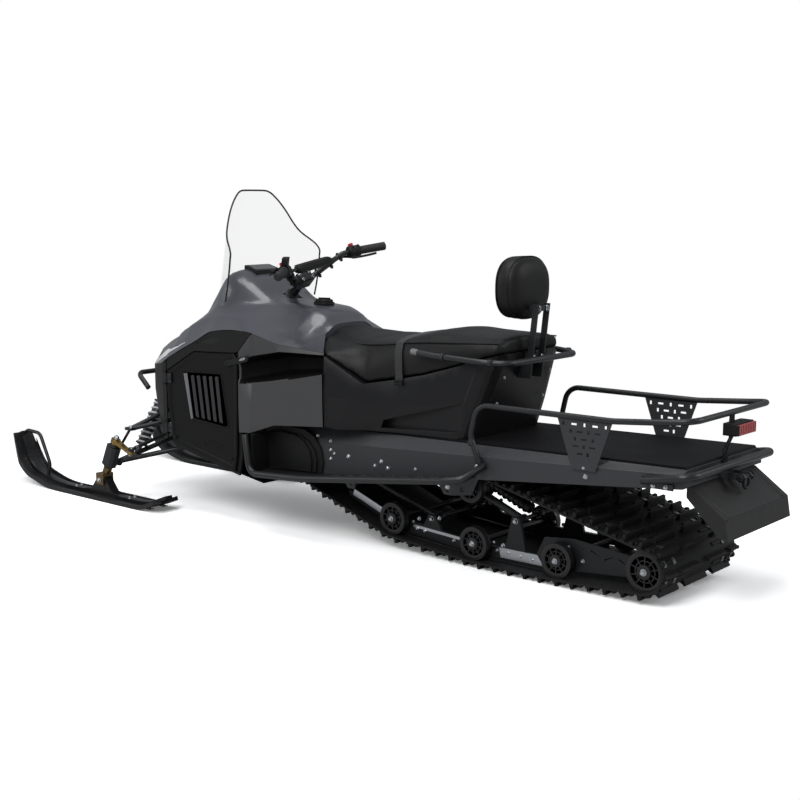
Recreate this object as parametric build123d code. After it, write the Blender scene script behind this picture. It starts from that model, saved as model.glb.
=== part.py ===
"""Utility snowmobile with a wide track, cargo deck, rack and backrest.

Frame: +X forward, +Y left, +Z up, millimetres. The origin is on the ground under the middle
of the whole machine. Stations along the machine are X values, heights are Z values.
"""
from build123d import *
import os
from math import atan2, cos, hypot, pi, radians, sin

os.makedirs("parts", exist_ok=True)

# Track and its wheels
track_half = 252.0
belt = 6.0
lug_height = 20.0
lug_pitch = 64.0
lug_root = 17.0
lug_tip = 9.0
ground_gap = belt + lug_height
wheel_r = 60.0
idler_r = 68.0
roller_r = 56.0
drive_r = 72.0
wheel_y = 222.0
wheel_w = 26.0
axle_d = 20.0
# name, station, lift of the tread over the ground, radius
wheel_table = [
    ("wheel_set_front", -404.0, 31.0, wheel_r),
    ("wheel_set_middle", -783.0, 0.0, wheel_r),
    ("wheel_set_rear", -1134.0, 0.0, wheel_r),
    ("wheel_set_idler", -1473.0, 16.0, idler_r),
]
roller_x, roller_z = -766.0, 288.0
drive_x, drive_z = 40.0, 284.0

# Skid rails
rail_y = 185.0
rail_t = 12.0
rail_h = 44.0
rail_lift = 8.0
rear_rail_t = 6.0

# Tunnel, deck and running boards
tunnel_half = 275.0
tunnel_top_half = 245.0
sheet = 3.0
tunnel_rear = -1621.0
tunnel_front = 236.0
deck_slope = 0.0212
deck_z0 = 439.0
crease_slope = 0.0500
crease_z0 = 371.0
deck_t = 8.0
deck_front = -112.0
deck_rear = -1618.0
skirt_rear_z = 409.0
skirt_mid_x, skirt_mid_z = -700.0, 318.0
skirt_front_x, skirt_front_z = -120.0, 246.0
board_out = 400.0
board_tube_d = 26.0
board_t = 3.0
board_front_top = 388.0

# Cargo rack and rear end
rack_y = 284.0
rack_d = 20.0
rack_z = 596.0
rack_rear_x, rack_rear_z = -1650.0, 622.0
plate_t = 4.0
bracket_x = -1268.0
bumper_d = 27.0
rear_bumper_x, rear_bumper_z = -1657.0, 452.0
flap_half = 225.0
flap_t = 5.0
flap_ridge_x, flap_ridge_z = -1742.0, 323.0
flap_lip_x, flap_lip_z = -1753.7, 254.0

# Body shell
skin = 5.0
side_y = 345.0
door_t = 12.0

# Steering
post_tilt = 45.0
clamp = (277.0, 0.0, 970.0)
bar_turn = 10.5
bar_d = 22.0
grip_d = 34.0
ski_y = 395.0
ski_half = 66.0
kingpin_foot = (1129.0, 395.0, 82.0)
kingpin_top = (1050.0, 380.0, 282.0)
kingpin_d = 26.0
arm_length = 108.0
tie_rod_d = 16.0


def poly_face(points):
    return Face(Wire.make_polygon([Vector(*p) for p in points], close=True))


def prism_y(points, y0, y1):
    """Side-view outline of (x, z) points, extruded from y0 to y1."""
    face = poly_face([(x, y0, z) for x, z in points])
    return Solid.extrude(face, Vector(0, y1 - y0, 0))


def prism_x(points, x0, x1):
    """Front-view outline of (y, z) points, extruded from x0 to x1."""
    face = poly_face([(x0, y, z) for y, z in points])
    return Solid.extrude(face, Vector(x1 - x0, 0, 0))


def prism_z(points, z0, z1):
    """Plan outline of (x, y) points, extruded from z0 to z1."""
    face = poly_face([(x, y, z0) for x, y in points])
    return Solid.extrude(face, Vector(0, 0, z1 - z0))


def block(x0, x1, y0, y1, z0, z1):
    return Solid.make_box(x1 - x0, y1 - y0, z1 - z0, Plane(origin=(x0, y0, z0)))


def both_sides(half):
    """Closed (y, z) outline from its left half, given from the bottom up."""
    return half + [(-y, z) for y, z in reversed(half)]


def loft_x(sections):
    """Straight-sided loft through (x, outline) stations, outline in (y, z)."""
    wires = [Wire.make_polygon([Vector(x, y, z) for y, z in out], close=True) for x, out in sections]
    return Solid.make_loft(wires, ruled=True)


def rod(a, b, d):
    a, b = Vector(*a), Vector(*b)
    return Solid.make_cylinder(d / 2, (b - a).length, Plane(origin=a, z_dir=b - a))


def disc_y(x, z, r, y0, y1):
    return Solid.make_cylinder(r, y1 - y0, Plane(origin=(x, y0, z), x_dir=(1, 0, 0), z_dir=(0, 1, 0)))


def bent_tube(points, radii, d):
    """Round tube along straight runs joined by tangent bends."""
    path = FilletPolyline(*points, radius=radii)
    start = Vector(*points[0])
    section = Plane(origin=start, z_dir=Vector(*points[1]) - start) * Circle(d / 2)
    return sweep(section, path=path).solid()


def mirrored(shape):
    return shape.mirror(Plane.XZ)


def join(first, *rest):
    shape = first
    for piece in rest:
        shape = shape + piece
    return shape


def save(name, *solids):
    """Write one node, as one solid or as a group of separate ones."""
    flat = [s for shape in solids for s in shape.solids()]
    shape = flat[0] if len(flat) == 1 else Compound(children=flat)
    export_step(shape, f"parts/{name}.step")
    volume = sum(s.volume for s in flat) / 1000
    box = shape.bounding_box()
    print(f"{name:24s} {len(flat):3d} {volume:9.1f} cm3  X {box.min.X:8.1f} {box.max.X:8.1f}"
          f"  Y {box.min.Y:7.1f} {box.max.Y:7.1f}  Z {box.min.Z:7.1f} {box.max.Z:7.1f}", flush=True)


def save_pair(name, *left):
    """Write the left piece and its mirror image."""
    save(name + "_left", *left)
    save(name + "_right", *[mirrored(s) for s in left])


def deck_z(x):
    """Height of the deck's top face at a station."""
    return deck_z0 - deck_slope * x


def crease_z(x):
    """Height of the bend between tunnel side and its slanted shoulder."""
    return crease_z0 - crease_slope * x


def wheel_centre(lift, r):
    return ground_gap + lift + r


# Track: a belt around the wheels, with rows of lugs in three widths

def belt_circles():
    circles = [(drive_x, drive_z, drive_r), (roller_x, roller_z, roller_r)]
    for _, x, lift, r in reversed(wheel_table):
        circles.append((x, wheel_centre(lift, r), r))
    return circles


def belt_path(offset):
    """Tangent points of a belt round the wheels: (leave, arrive) per run, counted backwards."""
    circles = belt_circles()
    runs = []
    for i, (x0, z0, r0) in enumerate(circles):
        x1, z1, r1 = circles[(i + 1) % len(circles)]
        r0, r1 = r0 + offset, r1 + offset
        along = atan2(z1 - z0, x1 - x0)
        slip = (r0 - r1) / hypot(x1 - x0, z1 - z0)
        normal = along - pi / 2 + slip
        n = (cos(normal), sin(normal))
        runs.append(((x0 + r0 * n[0], z0 + r0 * n[1]), (x1 + r1 * n[0], z1 + r1 * n[1])))
    return circles, runs


def belt_wire(offset, y):
    circles, runs = belt_path(offset)
    edges = []
    for i, (leave, arrive) in enumerate(runs):
        edges.append(Edge.make_line(Vector(leave[0], y, leave[1]), Vector(arrive[0], y, arrive[1])))
        nxt = runs[(i + 1) % len(runs)][0]
        cx, cz, r = circles[(i + 1) % len(circles)]
        r += offset
        mid = Vector(arrive[0] + nxt[0] - 2 * cx, 0, arrive[1] + nxt[1] - 2 * cz).normalized() * r
        edges.append(Edge.make_three_point_arc(Vector(arrive[0], y, arrive[1]),
                                               Vector(cx, y, cz) + mid, Vector(nxt[0], y, nxt[1])))
    return Wire(edges)


def ring(offset0, offset1, half):
    outer = Solid.extrude(Face(belt_wire(offset1, -half)), Vector(0, 2 * half, 0))
    inner = Solid.extrude(Face(belt_wire(offset0, -half - 1)), Vector(0, 2 * half + 2, 0))
    return outer - inner


def make_track():
    loop = ring(0, belt, track_half)
    outline = belt_wire(belt, 0)
    rows = round(outline.length / lug_pitch)
    # centre and half width of the paddles in even and odd rows
    patterns = [[(-180.0, 62.0), (0.0, 74.0), (180.0, 62.0)], [(-214.0, 32.0), (-92.0, 62.0), (92.0, 62.0), (214.0, 32.0)]]
    lugs = []
    for i in range(rows):
        at = (i + 0.5) / rows
        p, t = outline @ at, outline % at
        n = Vector(t.Z, 0, -t.X)
        if n.dot(p - Vector(-700, 0, 190)) < 0:
            n = n * -1
        for y, half in patterns[i % 2]:
            foot, top = p - n * 1.0, p + n * lug_height
            outline_pts = [foot - t * lug_root / 2, foot + t * lug_root / 2, top + t * lug_tip / 2, top - t * lug_tip / 2]
            face = Face(Wire.make_polygon([q + Vector(0, y - half, 0) for q in outline_pts], close=True))
            lugs.append(Solid.extrude(face, Vector(0, 2 * half, 0)))
    return loop.fuse(*lugs)


track = make_track()
save("track", track)


# Wheels, axles and drive

def wheel(x, z, r, y):
    """Rubber-tyred bogie wheel: rim, web and hub, as one turned piece."""
    tyre = disc_y(x, z, r, y - wheel_w / 2, y + wheel_w / 2)
    hollow = disc_y(x, z, r - 16, y + wheel_w / 2 - 9, y + wheel_w / 2 + 1)
    hub = disc_y(x, z, r * 0.36, y - wheel_w / 2, y + wheel_w / 2 + 4)
    back = disc_y(x, z, r - 16, y - wheel_w / 2 - 1, y - wheel_w / 2 + 9)
    return (tyre - hollow - back) + hub


def wheel_set(x, z, r, reach):
    shaft = disc_y(x, z, axle_d / 2, -reach, reach)
    return join(shaft, wheel(x, z, r, wheel_y), mirrored(wheel(x, z, r, wheel_y)))


sets = [wheel_set(x, wheel_centre(lift, r), r, wheel_y) for _, x, lift, r in wheel_table]
save("bogie_wheels", *sets[:3])
save("rear_idler", sets[3])
save("top_roller", wheel_set(roller_x, roller_z, roller_r, tunnel_half - sheet - 0.3))


def make_drive_axle():
    """Hexagonal shaft with two toothed drive wheels inside the front of the track."""
    shaft = disc_y(drive_x, drive_z, 17, -tunnel_half + sheet + 0.3, tunnel_half - sheet - 0.3)
    sprockets = []
    for y in (-150.0, -50.0, 50.0, 150.0):
        wheel_disc = disc_y(drive_x, drive_z, drive_r - 5, y - 14, y + 14)
        sprockets.append(wheel_disc)
        for k in range(9):
            a = radians(40 * k)
            c = Vector(drive_x + (drive_r - 6) * cos(a), y, drive_z + (drive_r - 6) * sin(a))
            sprockets.append(disc_y(c.X, c.Z, 5.7, y - 14, y + 14))
    return shaft.fuse(*sprockets)


save("drive_axle", make_drive_axle())


# Skid: two slide rails with rear plates, swing arms and shocks

def rail_bottom(x):
    """Height of the belt's inner face under the rails."""
    front, middle = wheel_table[0], wheel_table[1]
    if x < middle[1]:
        return ground_gap
    share = (x - middle[1]) / (front[1] - middle[1])
    return ground_gap + share * front[2]


def make_rails():
    rails = []
    rise = 0.385
    x_front = -150.0
    x_bend = wheel_table[0][1] + 14
    z_bend = rail_bottom(x_bend) + rail_lift
    z_tip = z_bend + rise * (x_front - x_bend)
    x_mid, x_rear = wheel_table[1][1], -1085.0
    outline = [(x_rear, rail_bottom(x_rear) + rail_lift), (x_mid, rail_bottom(x_mid) + rail_lift), (x_bend, z_bend),
               (x_front, z_tip), (x_front + 6, z_tip + 26), (x_bend - 20, z_bend + rail_h + 4),
               (x_mid, rail_bottom(x_mid) + rail_lift + rail_h), (x_rear, rail_bottom(x_rear) + rail_lift + rail_h)]
    rail = prism_y(outline, rail_y - rail_t / 2, rail_y + rail_t / 2)
    for _, x, lift, r in wheel_table[:3]:
        rail = rail - disc_y(x, wheel_centre(lift, r), axle_d / 2 + 0.2, rail_y - rail_t, rail_y + rail_t)
    for x, up in ((front_pivot[0], front_pivot[1]), (rear_pivot[0], rear_pivot[1])):
        lug = prism_y([(x - 46, rail_bottom(x) + rail_lift + rail_h - 4), (x + 46, rail_bottom(x) + rail_lift + rail_h - 4),
                       (x + 16, up + 14), (x - 16, up + 14)], rail_y - rail_t / 2, rail_y + rail_t / 2)
        rail = rail + lug
        rail = rail - disc_y(x, up, pivot_d / 2 + 0.2, rail_y - rail_t, rail_y + rail_t)
    return rail


pivot_d = 16.0
front_pivot = (-560.0, 132.0)
rear_pivot = (-936.0, 183.0)
front_hanger = (-235.0, 232.0)
rear_hanger = (-700.0, 276.0)
arm_y = 150.0
arm_d = 28.0

rail = make_rails()
save("skid_rails", rail, mirrored(rail))


def make_rear_rail():
    """Folded plate from the rear wheels back to the idler, with three-cornered lightening holes."""
    x_idler, lift, r = wheel_table[3][1], wheel_table[3][2], wheel_table[3][3]
    z_idler = wheel_centre(lift, r)
    y0 = rail_y + rail_t / 2
    outline = [(-1030, 84), (-1062, 150), (-1180, 162), (-1440, 140), (x_idler - 24, z_idler + 16),
               (x_idler - 24, z_idler - 16), (-1400, 70), (-1200, 52), (-1060, 44)]
    plate = prism_y(outline, y0, y0 + rear_rail_t)
    for _, x, up, rad in wheel_table[2:]:
        plate = plate - disc_y(x, wheel_centre(up, rad), axle_d / 2 + 0.2, y0 - 1, y0 + rear_rail_t + 1)
    hole_w, hole_h = 40.0, 22.0
    for k in range(4):
        x, z = -1215.0 - 54.0 * k, 132.0 - 6.0 * k
        side = 1 if k % 2 else -1
        hole = prism_y([(x - hole_w / 2, z - hole_h / 2 * side), (x + hole_w / 2, z + hole_h / 4 * side),
                        (x + hole_w / 2, z + hole_h / 2 * side)], y0 - 1, y0 + rear_rail_t + 1)
        plate = plate - hole
    return plate


rear_rail = make_rear_rail()
save("rear_rails", rear_rail, mirrored(rear_rail))


def swing_arm(low, high, low_y, high_y):
    """Welded arm of two tubes between cross shafts on the rails and on the tunnel."""
    top = disc_y(high[0], high[1], pivot_d / 2, -high_y, high_y)
    bottom = disc_y(low[0], low[1], pivot_d / 2, -low_y, low_y)
    legs = [rod((low[0], s * arm_y, low[1]), (high[0], s * arm_y, high[1]), arm_d) for s in (-1, 1)]
    eyes = [disc_y(x, z, arm_d / 2 + 3, s * arm_y - 16, s * arm_y + 16) for x, z in (low, high) for s in (-1, 1)]
    return join(top, bottom, *legs, *eyes)


hanger_y = tunnel_half - sheet
save("swing_arms", *[swing_arm(low, high, rail_y + rail_t / 2 + 8, hanger_y - 0.5)
                     for low, high in ((front_pivot, front_hanger), (rear_pivot, rear_hanger))])


def shock(low, high, body_d, coil_d, eye_bore):
    """Coil-over damper, plain: spring sleeve, rod and bored end eyes along Y."""
    a, b = Vector(*low), Vector(*high)
    u = (b - a).normalized()
    eyes = [disc_y(p.X, p.Z, body_d / 2, p.Y - 12, p.Y + 12) for p in (a, b)]
    body = join(rod(tuple(a), tuple(b), 14), rod(tuple(a + u * 36), tuple(b - u * 26), coil_d), *eyes)
    for p in (a, b):
        body = body - disc_y(p.X, p.Z, eye_bore / 2, p.Y - 30, p.Y + 30)
    return body


bore = pivot_d + 0.4
save("skid_shocks",
     shock((front_pivot[0], -45.0, front_pivot[1]), (rear_hanger[0], -45.0, rear_hanger[1]), 30, 40, bore),
     shock((rear_pivot[0], 45.0, rear_pivot[1]), (rear_hanger[0], 45.0, rear_hanger[1]), 30, 40, bore))


# Tunnel: one folded sheet over the track, with slanted shoulders and a closed rear end

def tunnel_outline(x, inset, z_low):
    half, top = tunnel_half - inset, tunnel_top_half - inset * 0.7
    return both_sides([(half, z_low), (half, crease_z(x) - inset * 0.3), (top, deck_z(x) - deck_t - inset)])


def make_tunnel():
    outer = loft_x([(x, tunnel_outline(x, 0, 150)) for x in (tunnel_rear, tunnel_front)])
    inner = loft_x([(x, tunnel_outline(x, sheet, 149)) for x in (tunnel_rear + sheet, tunnel_front + 1)])
    below = prism_y([(tunnel_rear - 9, 100), (tunnel_rear - 9, skirt_rear_z), (skirt_mid_x, skirt_mid_z),
                     (skirt_front_x, skirt_front_z), (tunnel_front + 9, skirt_front_z), (tunnel_front + 9, 100)],
                    -tunnel_half - 9, tunnel_half + 9)
    tunnel = outer - inner - below
    for (x, z), tail in ((front_hanger, 18), (rear_hanger, 106)):
        plate = prism_y([(x - tail - 30, z + 62), (x + 60, z + 40), (x + 18, z - 18), (x - 18, z - 18), (x - tail, z - 4)],
                        tunnel_half - sheet - 4, tunnel_half)
        plate = plate - disc_y(x, z, bore / 2, tunnel_half - 20, tunnel_half + 20)
        plate = plate - disc_y(roller_x, roller_z, axle_d / 2 + 0.2, tunnel_half - 20, tunnel_half + 20)
        tunnel = join(tunnel, plate, mirrored(plate))
    return tunnel


save("tunnel", make_tunnel())

deck_half = tunnel_top_half - 3
deck = prism_y([(deck_rear, deck_z(deck_rear) - deck_t), (deck_front, deck_z(deck_front) - deck_t),
                (deck_front, deck_z(deck_front)), (deck_rear + 6, deck_z(deck_rear + 6))], -deck_half, deck_half)
save("cargo_deck", deck)


# Running boards: folded plate inside a bent side tube, with a moulded toe box at the front

board_path = [(-864, 281, 385.3), (-845, 376, 350), (-780, 400, 339), (-88, 400, 252), (190, 400, 236),
              (213, 400, board_front_top)]


def board_tube(d):
    return bent_tube(board_path, [40, 60, 300, 42], d)


def make_board():
    line = [(-826.0, 342.0), (-88.0, 253.0), (202.0, 237.0)]
    plate = prism_y(line + [(x, z - board_t) for x, z in reversed(line)], tunnel_half, board_out - 4)
    tube = board_tube(board_tube_d)
    tread = []
    for k in range(9):
        x = -740.0 + 68.0 * k
        z = 342.0 - (x + 826.0) * 89.0 / 738.0
        for y in (300.0, 345.0):
            tread.append(block(x, x + 46, y, y + 24, z - 30, z + 30))
    for hole in tread:
        plate = plate - hole
    return plate + tube


board = make_board()
save("running_boards", board, mirrored(board))


def make_toe_box():
    """Side plate on the tunnel with two raised ribs round its rear, and the wall ahead of the toes."""
    z0 = 243.0
    side = prism_y([(196, 238), (-88, 254), (-96, 300), (-84, 350), (-50, 392), (0, 415), (120, 420), (196, 392)],
                   tunnel_half, tunnel_half + 7)
    for grow, out in ((0.0, 13.0), (-22.0, 19.0)):
        rib = prism_y([(196, 240), (-62 - grow, 256), (-66 - grow, 300), (-54 - grow, 340), (-24 - grow, 372),
                       (20 - grow, 390), (120, 396), (196, 384)], tunnel_half, tunnel_half + out)
        side = side + rib
    wall = block(186, 198, tunnel_half, board_out - 15, z0, 388)
    return side + wall


toe_box = make_toe_box()
save("toe_boxes", toe_box, mirrored(toe_box))


# Steering post line, from the bar clamp down to the front frame
post_u = Vector(-sin(radians(post_tilt)), 0, cos(radians(post_tilt)))
post_d = 34.0
post_length = 668.0


def post_at(t):
    """Point on the post's axis, t above the bar clamp."""
    return Vector(*clamp) + post_u * t


# Body side: belly pan, front frame and engine

def shell_loft(stations, outline, inset, open_rear=True):
    """Hollow loft: outer sections less the same sections set in by the wall."""
    outer = loft_x([(x, outline(row, 0)) for x, row in stations])
    rows = list(stations)
    step = 1 if rows[-1][0] > rows[0][0] else -1
    rows[-1] = (rows[-1][0] - step * inset, rows[-1][1])
    if open_rear:
        rows[0] = (rows[0][0] - step * 1.0, rows[0][1])
    inner = loft_x([(x, outline(row, inset)) for x, row in rows])
    return outer - inner


pan_t = 4.0
# station: bottom half width and height, top half width and height
pan_table = [
    (238.0, (280.0, 168.0, 336.0, 195.0)),
    (706.0, (230.0, 214.0, 330.0, 283.0)),
    (756.0, (200.0, 219.0, 320.0, 292.0)),
]


def pan_outline(row, inset):
    yb, zb, yt, zt = row
    return both_sides([(yb - inset, zb + inset), (yt - inset, zt + (1 if inset else 0))])


save("belly_pan", shell_loft(pan_table, pan_outline, pan_t))

frame_half = 140.0
frame_t = 8.0
rod_window = (903.0, 1008.0, 262.0, 328.0)


def make_front_frame():
    outline = [(762, 226), (990, 236), (1018, 330), (1012, 470), (930, 556), (762, 560)]
    side = prism_y(outline, frame_half - frame_t, frame_half)
    x0, x1, z0, z1 = rod_window
    side = side - block(x0, x1, 0, 300, z0, z1)
    side = side - prism_y([(800, 280), (870, 280), (870, 500), (800, 500)], 0, 300)
    side = side - prism_y([(905, 430), (975, 425), (975, 465), (905, 520)], 0, 300)
    floor = prism_y([(762, 226), (990, 236), (990, 244), (762, 234)], -frame_half, frame_half)
    front = block(1003, 1011, -frame_half, frame_half, 345, 470)
    roof = block(762, 925, -frame_half, frame_half, 552, 560)
    back = block(756, 770, -frame_half, frame_half, 226, 560)
    body = join(side, mirrored(side), floor, front, roof, back)
    cup = rod(tuple(post_at(-632)), tuple(post_at(-690)), post_d + 24)
    cup = cup & block(700, 766, -60, 60, 300, 700)
    return (body + cup) - rod(tuple(post_at(-600)), tuple(post_at(-post_length - 6)), post_d + 1)


save("front_frame", make_front_frame())
engine_bottom = [(x, 172.3 + (x - 238) * 46 / 468) for x in (330, 660)]
engine = prism_y([engine_bottom[0], engine_bottom[1], (660, 470), (600, 470), (600, 560), (330, 560)], -170, 170)
save("engine", engine)


# Hood: one painted shell with the instrument cowl rising out of it

# station: edge half width and height, shoulder, foot of cowl, top of cowl
hood_table = [
    (-158.0, (345, 731, 333, 812, 290, 818, 250, 820)),
    (14.0, (345, 741, 285, 815, 200, 838, 110, 850)),
    (110.0, (345, 751, 275, 822, 140, 858, 90, 872)),
    (215.0, (345, 778, 280, 828, 140, 862, 80, 878)),
    (330.0, (345, 786, 283, 832, 160, 868, 95, 895)),
    (470.0, (345, 770, 280, 828, 205, 880, 125, 972)),
    (560.0, (345, 728, 275, 813, 205, 880, 130, 994)),
    (625.0, (345, 698, 268, 798, 190, 848, 125, 922)),
    (690.0, (343, 668, 262, 770, 185, 800, 120, 826)),
    (790.0, (332, 618, 235, 722, 165, 748, 90, 765)),
    (985.0, (215, 585, 165, 650, 110, 664, 60, 670)),
    (1088.0, (85, 528, 85, 560, 60, 578, 30, 583)),
]


def spline(a, b, c, d, k):
    """Point between b and c of a smooth curve through a, b, c, d."""
    return tuple(0.5 * (2 * q + (r - p) * k + (2 * p - 5 * q + 4 * r - s) * k ** 2 + (3 * q - p - 3 * r + s) * k ** 3)
                 for p, q, r, s in zip(a, b, c, d))


def finer(rows):
    """The same stations with a smooth one added half way between each two."""
    full = []
    for i, (x, row) in enumerate(rows[:-1]):
        before, after = rows[max(i - 1, 0)], rows[min(i + 2, len(rows) - 1)]
        full.append((x, row))
        full.append(((x + rows[i + 1][0]) / 2, spline(before[1], row, rows[i + 1][1], after[1], 0.5)))
    return full + [rows[-1]]


def hood_outline(row, inset):
    y0, z0, y1, z1, y2, z2, y3, z3 = row
    drop = 1 if inset else 0
    knots = [(y0 - inset, z0 - drop), (y1 - inset, z1 - inset * 0.6), (y2 - inset * 0.5, z2 - inset),
             (y3 - inset * 0.5, z3 - inset), (-y3 + inset * 0.5, z3 - inset)]
    half = [knots[0], knots[1]]
    for i in (1, 2):
        for k in (0.34, 0.67, 1.0):
            half.append(spline(knots[i - 1] if i > 1 else knots[1], knots[i], knots[i + 1], knots[i + 2], k))
    centre = spline(knots[2], knots[3], knots[4], (-knots[2][0], knots[2][1]), 0.3)
    half.append(centre)
    return both_sides(half)


hood_rows = finer(hood_table)


def hood_edge(x):
    """Half width and height of the hood's lower edge at a station."""
    for (x0, a), (x1, b) in zip(hood_rows, hood_rows[1:]):
        if x0 <= x <= x1:
            k = (x - x0) / (x1 - x0)
            return a[0] + k * (b[0] - a[0]), a[1] + k * (b[1] - a[1])
    return hood_rows[-1][1][0], hood_rows[-1][1][1]


def above_hood_edge(y0, y1):
    """Room over the hood's lower edge, a hair's gap under it."""
    low = [(x, hood_edge(x)[1] - 0.4) for x, _ in hood_rows if x <= 800]
    low = [(low[0][0] - 60, low[0][1] - 0.4)] + low
    return prism_y(low + [(low[-1][0], 1200), (low[0][0], 1200)], y0, y1)


hood_full = loft_x([(x, hood_outline(row, 0)) for x, row in hood_rows])


def make_hood():
    hood = shell_loft(hood_rows, hood_outline, skin)
    hood = hood - block(-200, 16, -247, 247, 600, 900)
    side_wall = block(-158, 18, 247, 252, 700, 815)
    walls = join(side_wall, mirrored(side_wall), block(16, 21, -252, 252, 740, 900))
    hood = hood + (walls & hood_full)
    hole = rod(tuple(post_at(-40)), tuple(post_at(-220)), post_d + 26)
    return hood - hole


save("hood", make_hood())


def make_fascia():
    """Black lower nose between the doors, open below for the suspension."""
    rows = []
    for x, low in ((756.0, 300.0), (790.0, 330.0), (887.5, 405.0), (985.0, 480.0), (1036.5, 492.5), (1087.0, 505.0)):
        y, z = hood_edge(x)
        rows.append((x, (y - 1.0, low, z - 0.4)))

    def outline(row, inset):
        y, low, top = row
        return both_sides([(y - inset, low - (1 if inset else 0)), (y - inset, top + (1 if inset else 0))])
    fascia = shell_loft(rows, outline, skin)
    x, y = door_hinge
    for z in hinge_z:
        for low, high in ((z - 9, z - 1), (z + hinge_h + 1, z + hinge_h + 9)):
            ear = block(x, x + 14, y - 20, y + 6, low, high)
            ear = ear + Solid.make_cylinder(6, high - low, Plane(origin=(x, y, low)))
            fascia = join(fascia, ear, mirrored(ear))
        pin = Solid.make_cylinder(hinge_pin_r, hinge_h + 16, Plane(origin=(x, y, z - 8)))
        fascia = join(fascia, pin, mirrored(pin))
    return fascia


# Side doors of the engine bay turn on two pins each, held by the fascia
door_hinge = (751.0, side_y + 3)
hinge_z, hinge_h, hinge_pin_r = (330.0, 540.0), 40.0, 3.0
save("nose_fascia", make_fascia())


def make_headlights():
    pod = prism_y([(1087.4, 507), (1100, 510), (1098, 526), (1087.4, 527)], 6, 76)
    return pod


save("headlights", make_headlights(), mirrored(make_headlights()))

# upper side panel between hood and door, in side view
panel_low = [(748, 592), (719, 607), (576, 684), (330, 695), (308, 702), (232, 779)]


def make_side_panel():
    outline = panel_low + [(232, 840), (748, 840)]
    panel = prism_y(outline, side_y - 10, side_y - 4) - above_hood_edge(300, 400)
    scoop = prism_y([(560, 716), (470, 752), (400, 742), (470, 718)], side_y - 20, side_y)
    return panel - scoop


side_panel = make_side_panel()
save("side_panels", side_panel, mirrored(side_panel))

# Side doors of the engine bay, hinged at the front, with slanted cooling slots
door_outline = [(312, 662), (317, 508), (323, 286), (338, 214), (718, 288), (744, 464), (743, 588), (716, 603),
                (574, 680), (334, 691)]


def make_door():
    door = prism_y(door_outline, side_y - door_t, side_y)
    for k in range(5):
        x_top, x_low = 600.0 - 38.0 * k, 572.0 - 36.0 * k
        z_top, z_low = 580.0, 412.0 - 1.5 * k
        slot = prism_y([(x_top, z_top), (x_top - 16, z_top), (x_low - 16, z_low), (x_low, z_low)],
                       side_y - door_t - 1, side_y + 1)
        door = door - slot
    bar = prism_y([(636, 584), (612, 584), (584, 408), (608, 408)], side_y, side_y + 4)
    latch = block(318, 352, side_y, side_y + 6, 652, 666)
    x, y = door_hinge
    barrels = [Solid.make_cylinder(6, hinge_h, Plane(origin=(x, y, z))) for z in hinge_z]
    leaves = [block(716, x, side_y - 2, y, z, z + hinge_h) for z in hinge_z]
    door = join(door, bar, latch, *barrels, *leaves)
    return door - Solid.make_cylinder(hinge_pin_r + 0.1, 400, Plane(origin=(x, y, hinge_z[0] - 40)))


save_pair("side_door", make_door())

# Leg shields: moulded skin with a deep hollow for the knee
shield_t = 5.0
# station: bottom, top of lower face, two inner corners of the hollow, lip, top edge; each (y, z)
shield_table = [
    (306.0, ((345, 378), (345, 575), (338, 600), (338, 640), (341, 655), (341, 700))),
    (229.0, ((360, 386), (363, 580), (300, 610), (300, 662), (341, 690), (341, 778))),
    (118.0, ((362, 422), (365, 596), (270, 632), (270, 686), (341, 710), (341, 756))),
    (90.0, ((362, 432), (365, 600), (262, 640), (262, 692), (341, 715), (341, 750))),
    (-161.7, ((350, 452), (352, 650), (290, 668), (290, 704), (341, 722), (341, 728.5))),
]


def shield_row(x):
    """Outline of the shield at a station, its top edge a hair under the hood."""
    for (x0, p0), (x1, p1) in zip(shield_table, shield_table[1:]):
        if x1 <= x <= x0:
            k = (x0 - x) / (x0 - x1)
            pts = [(a[0] + k * (b[0] - a[0]), a[1] + k * (b[1] - a[1])) for a, b in zip(p0, p1)]
    if x <= shield_table[1][0]:
        pts[-1] = (pts[-1][0], hood_edge(max(x, hood_rows[0][0]))[1] - 0.6)
    return pts


def make_shield():
    stations = {x for x, _ in shield_table} | {x for x, _ in hood_rows if shield_table[-1][0] < x < shield_table[1][0]}
    sections = []
    for x in sorted(stations, reverse=True):
        pts = shield_row(x)
        back = [(y - shield_t, z + (2 if i in (2,) else 0) + (-2 if i in (3,) else 0)) for i, (y, z) in enumerate(pts)]
        sections.append((x, pts + back[::-1]))
    return loft_x(sections)


shield = make_shield()
save("leg_shields", shield, mirrored(shield))


# Seat base and seat share the joint line between them

# height: rear face and front face station, half width at the rear corner, at mid length and at the front
base_plan = [
    (400.0, (-735.0, -162.0, 242.0, 250.0, 340.0)),
    (560.0, (-792.0, -162.0, 234.0, 264.0, 349.0)),
    (770.0, (-866.0, -162.0, 206.0, 236.0, 338.0)),
]
base_round = 62.0
base_floor_front = 452.0
# three-cornered recess in each side of the base
recess = [(-734.0, 584.0), (-390.0, 492.0), (-378.0, 462.0), (-734.0, 480.0)]
recess_y = 232.0
seat_front_x = 12.0
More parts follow.
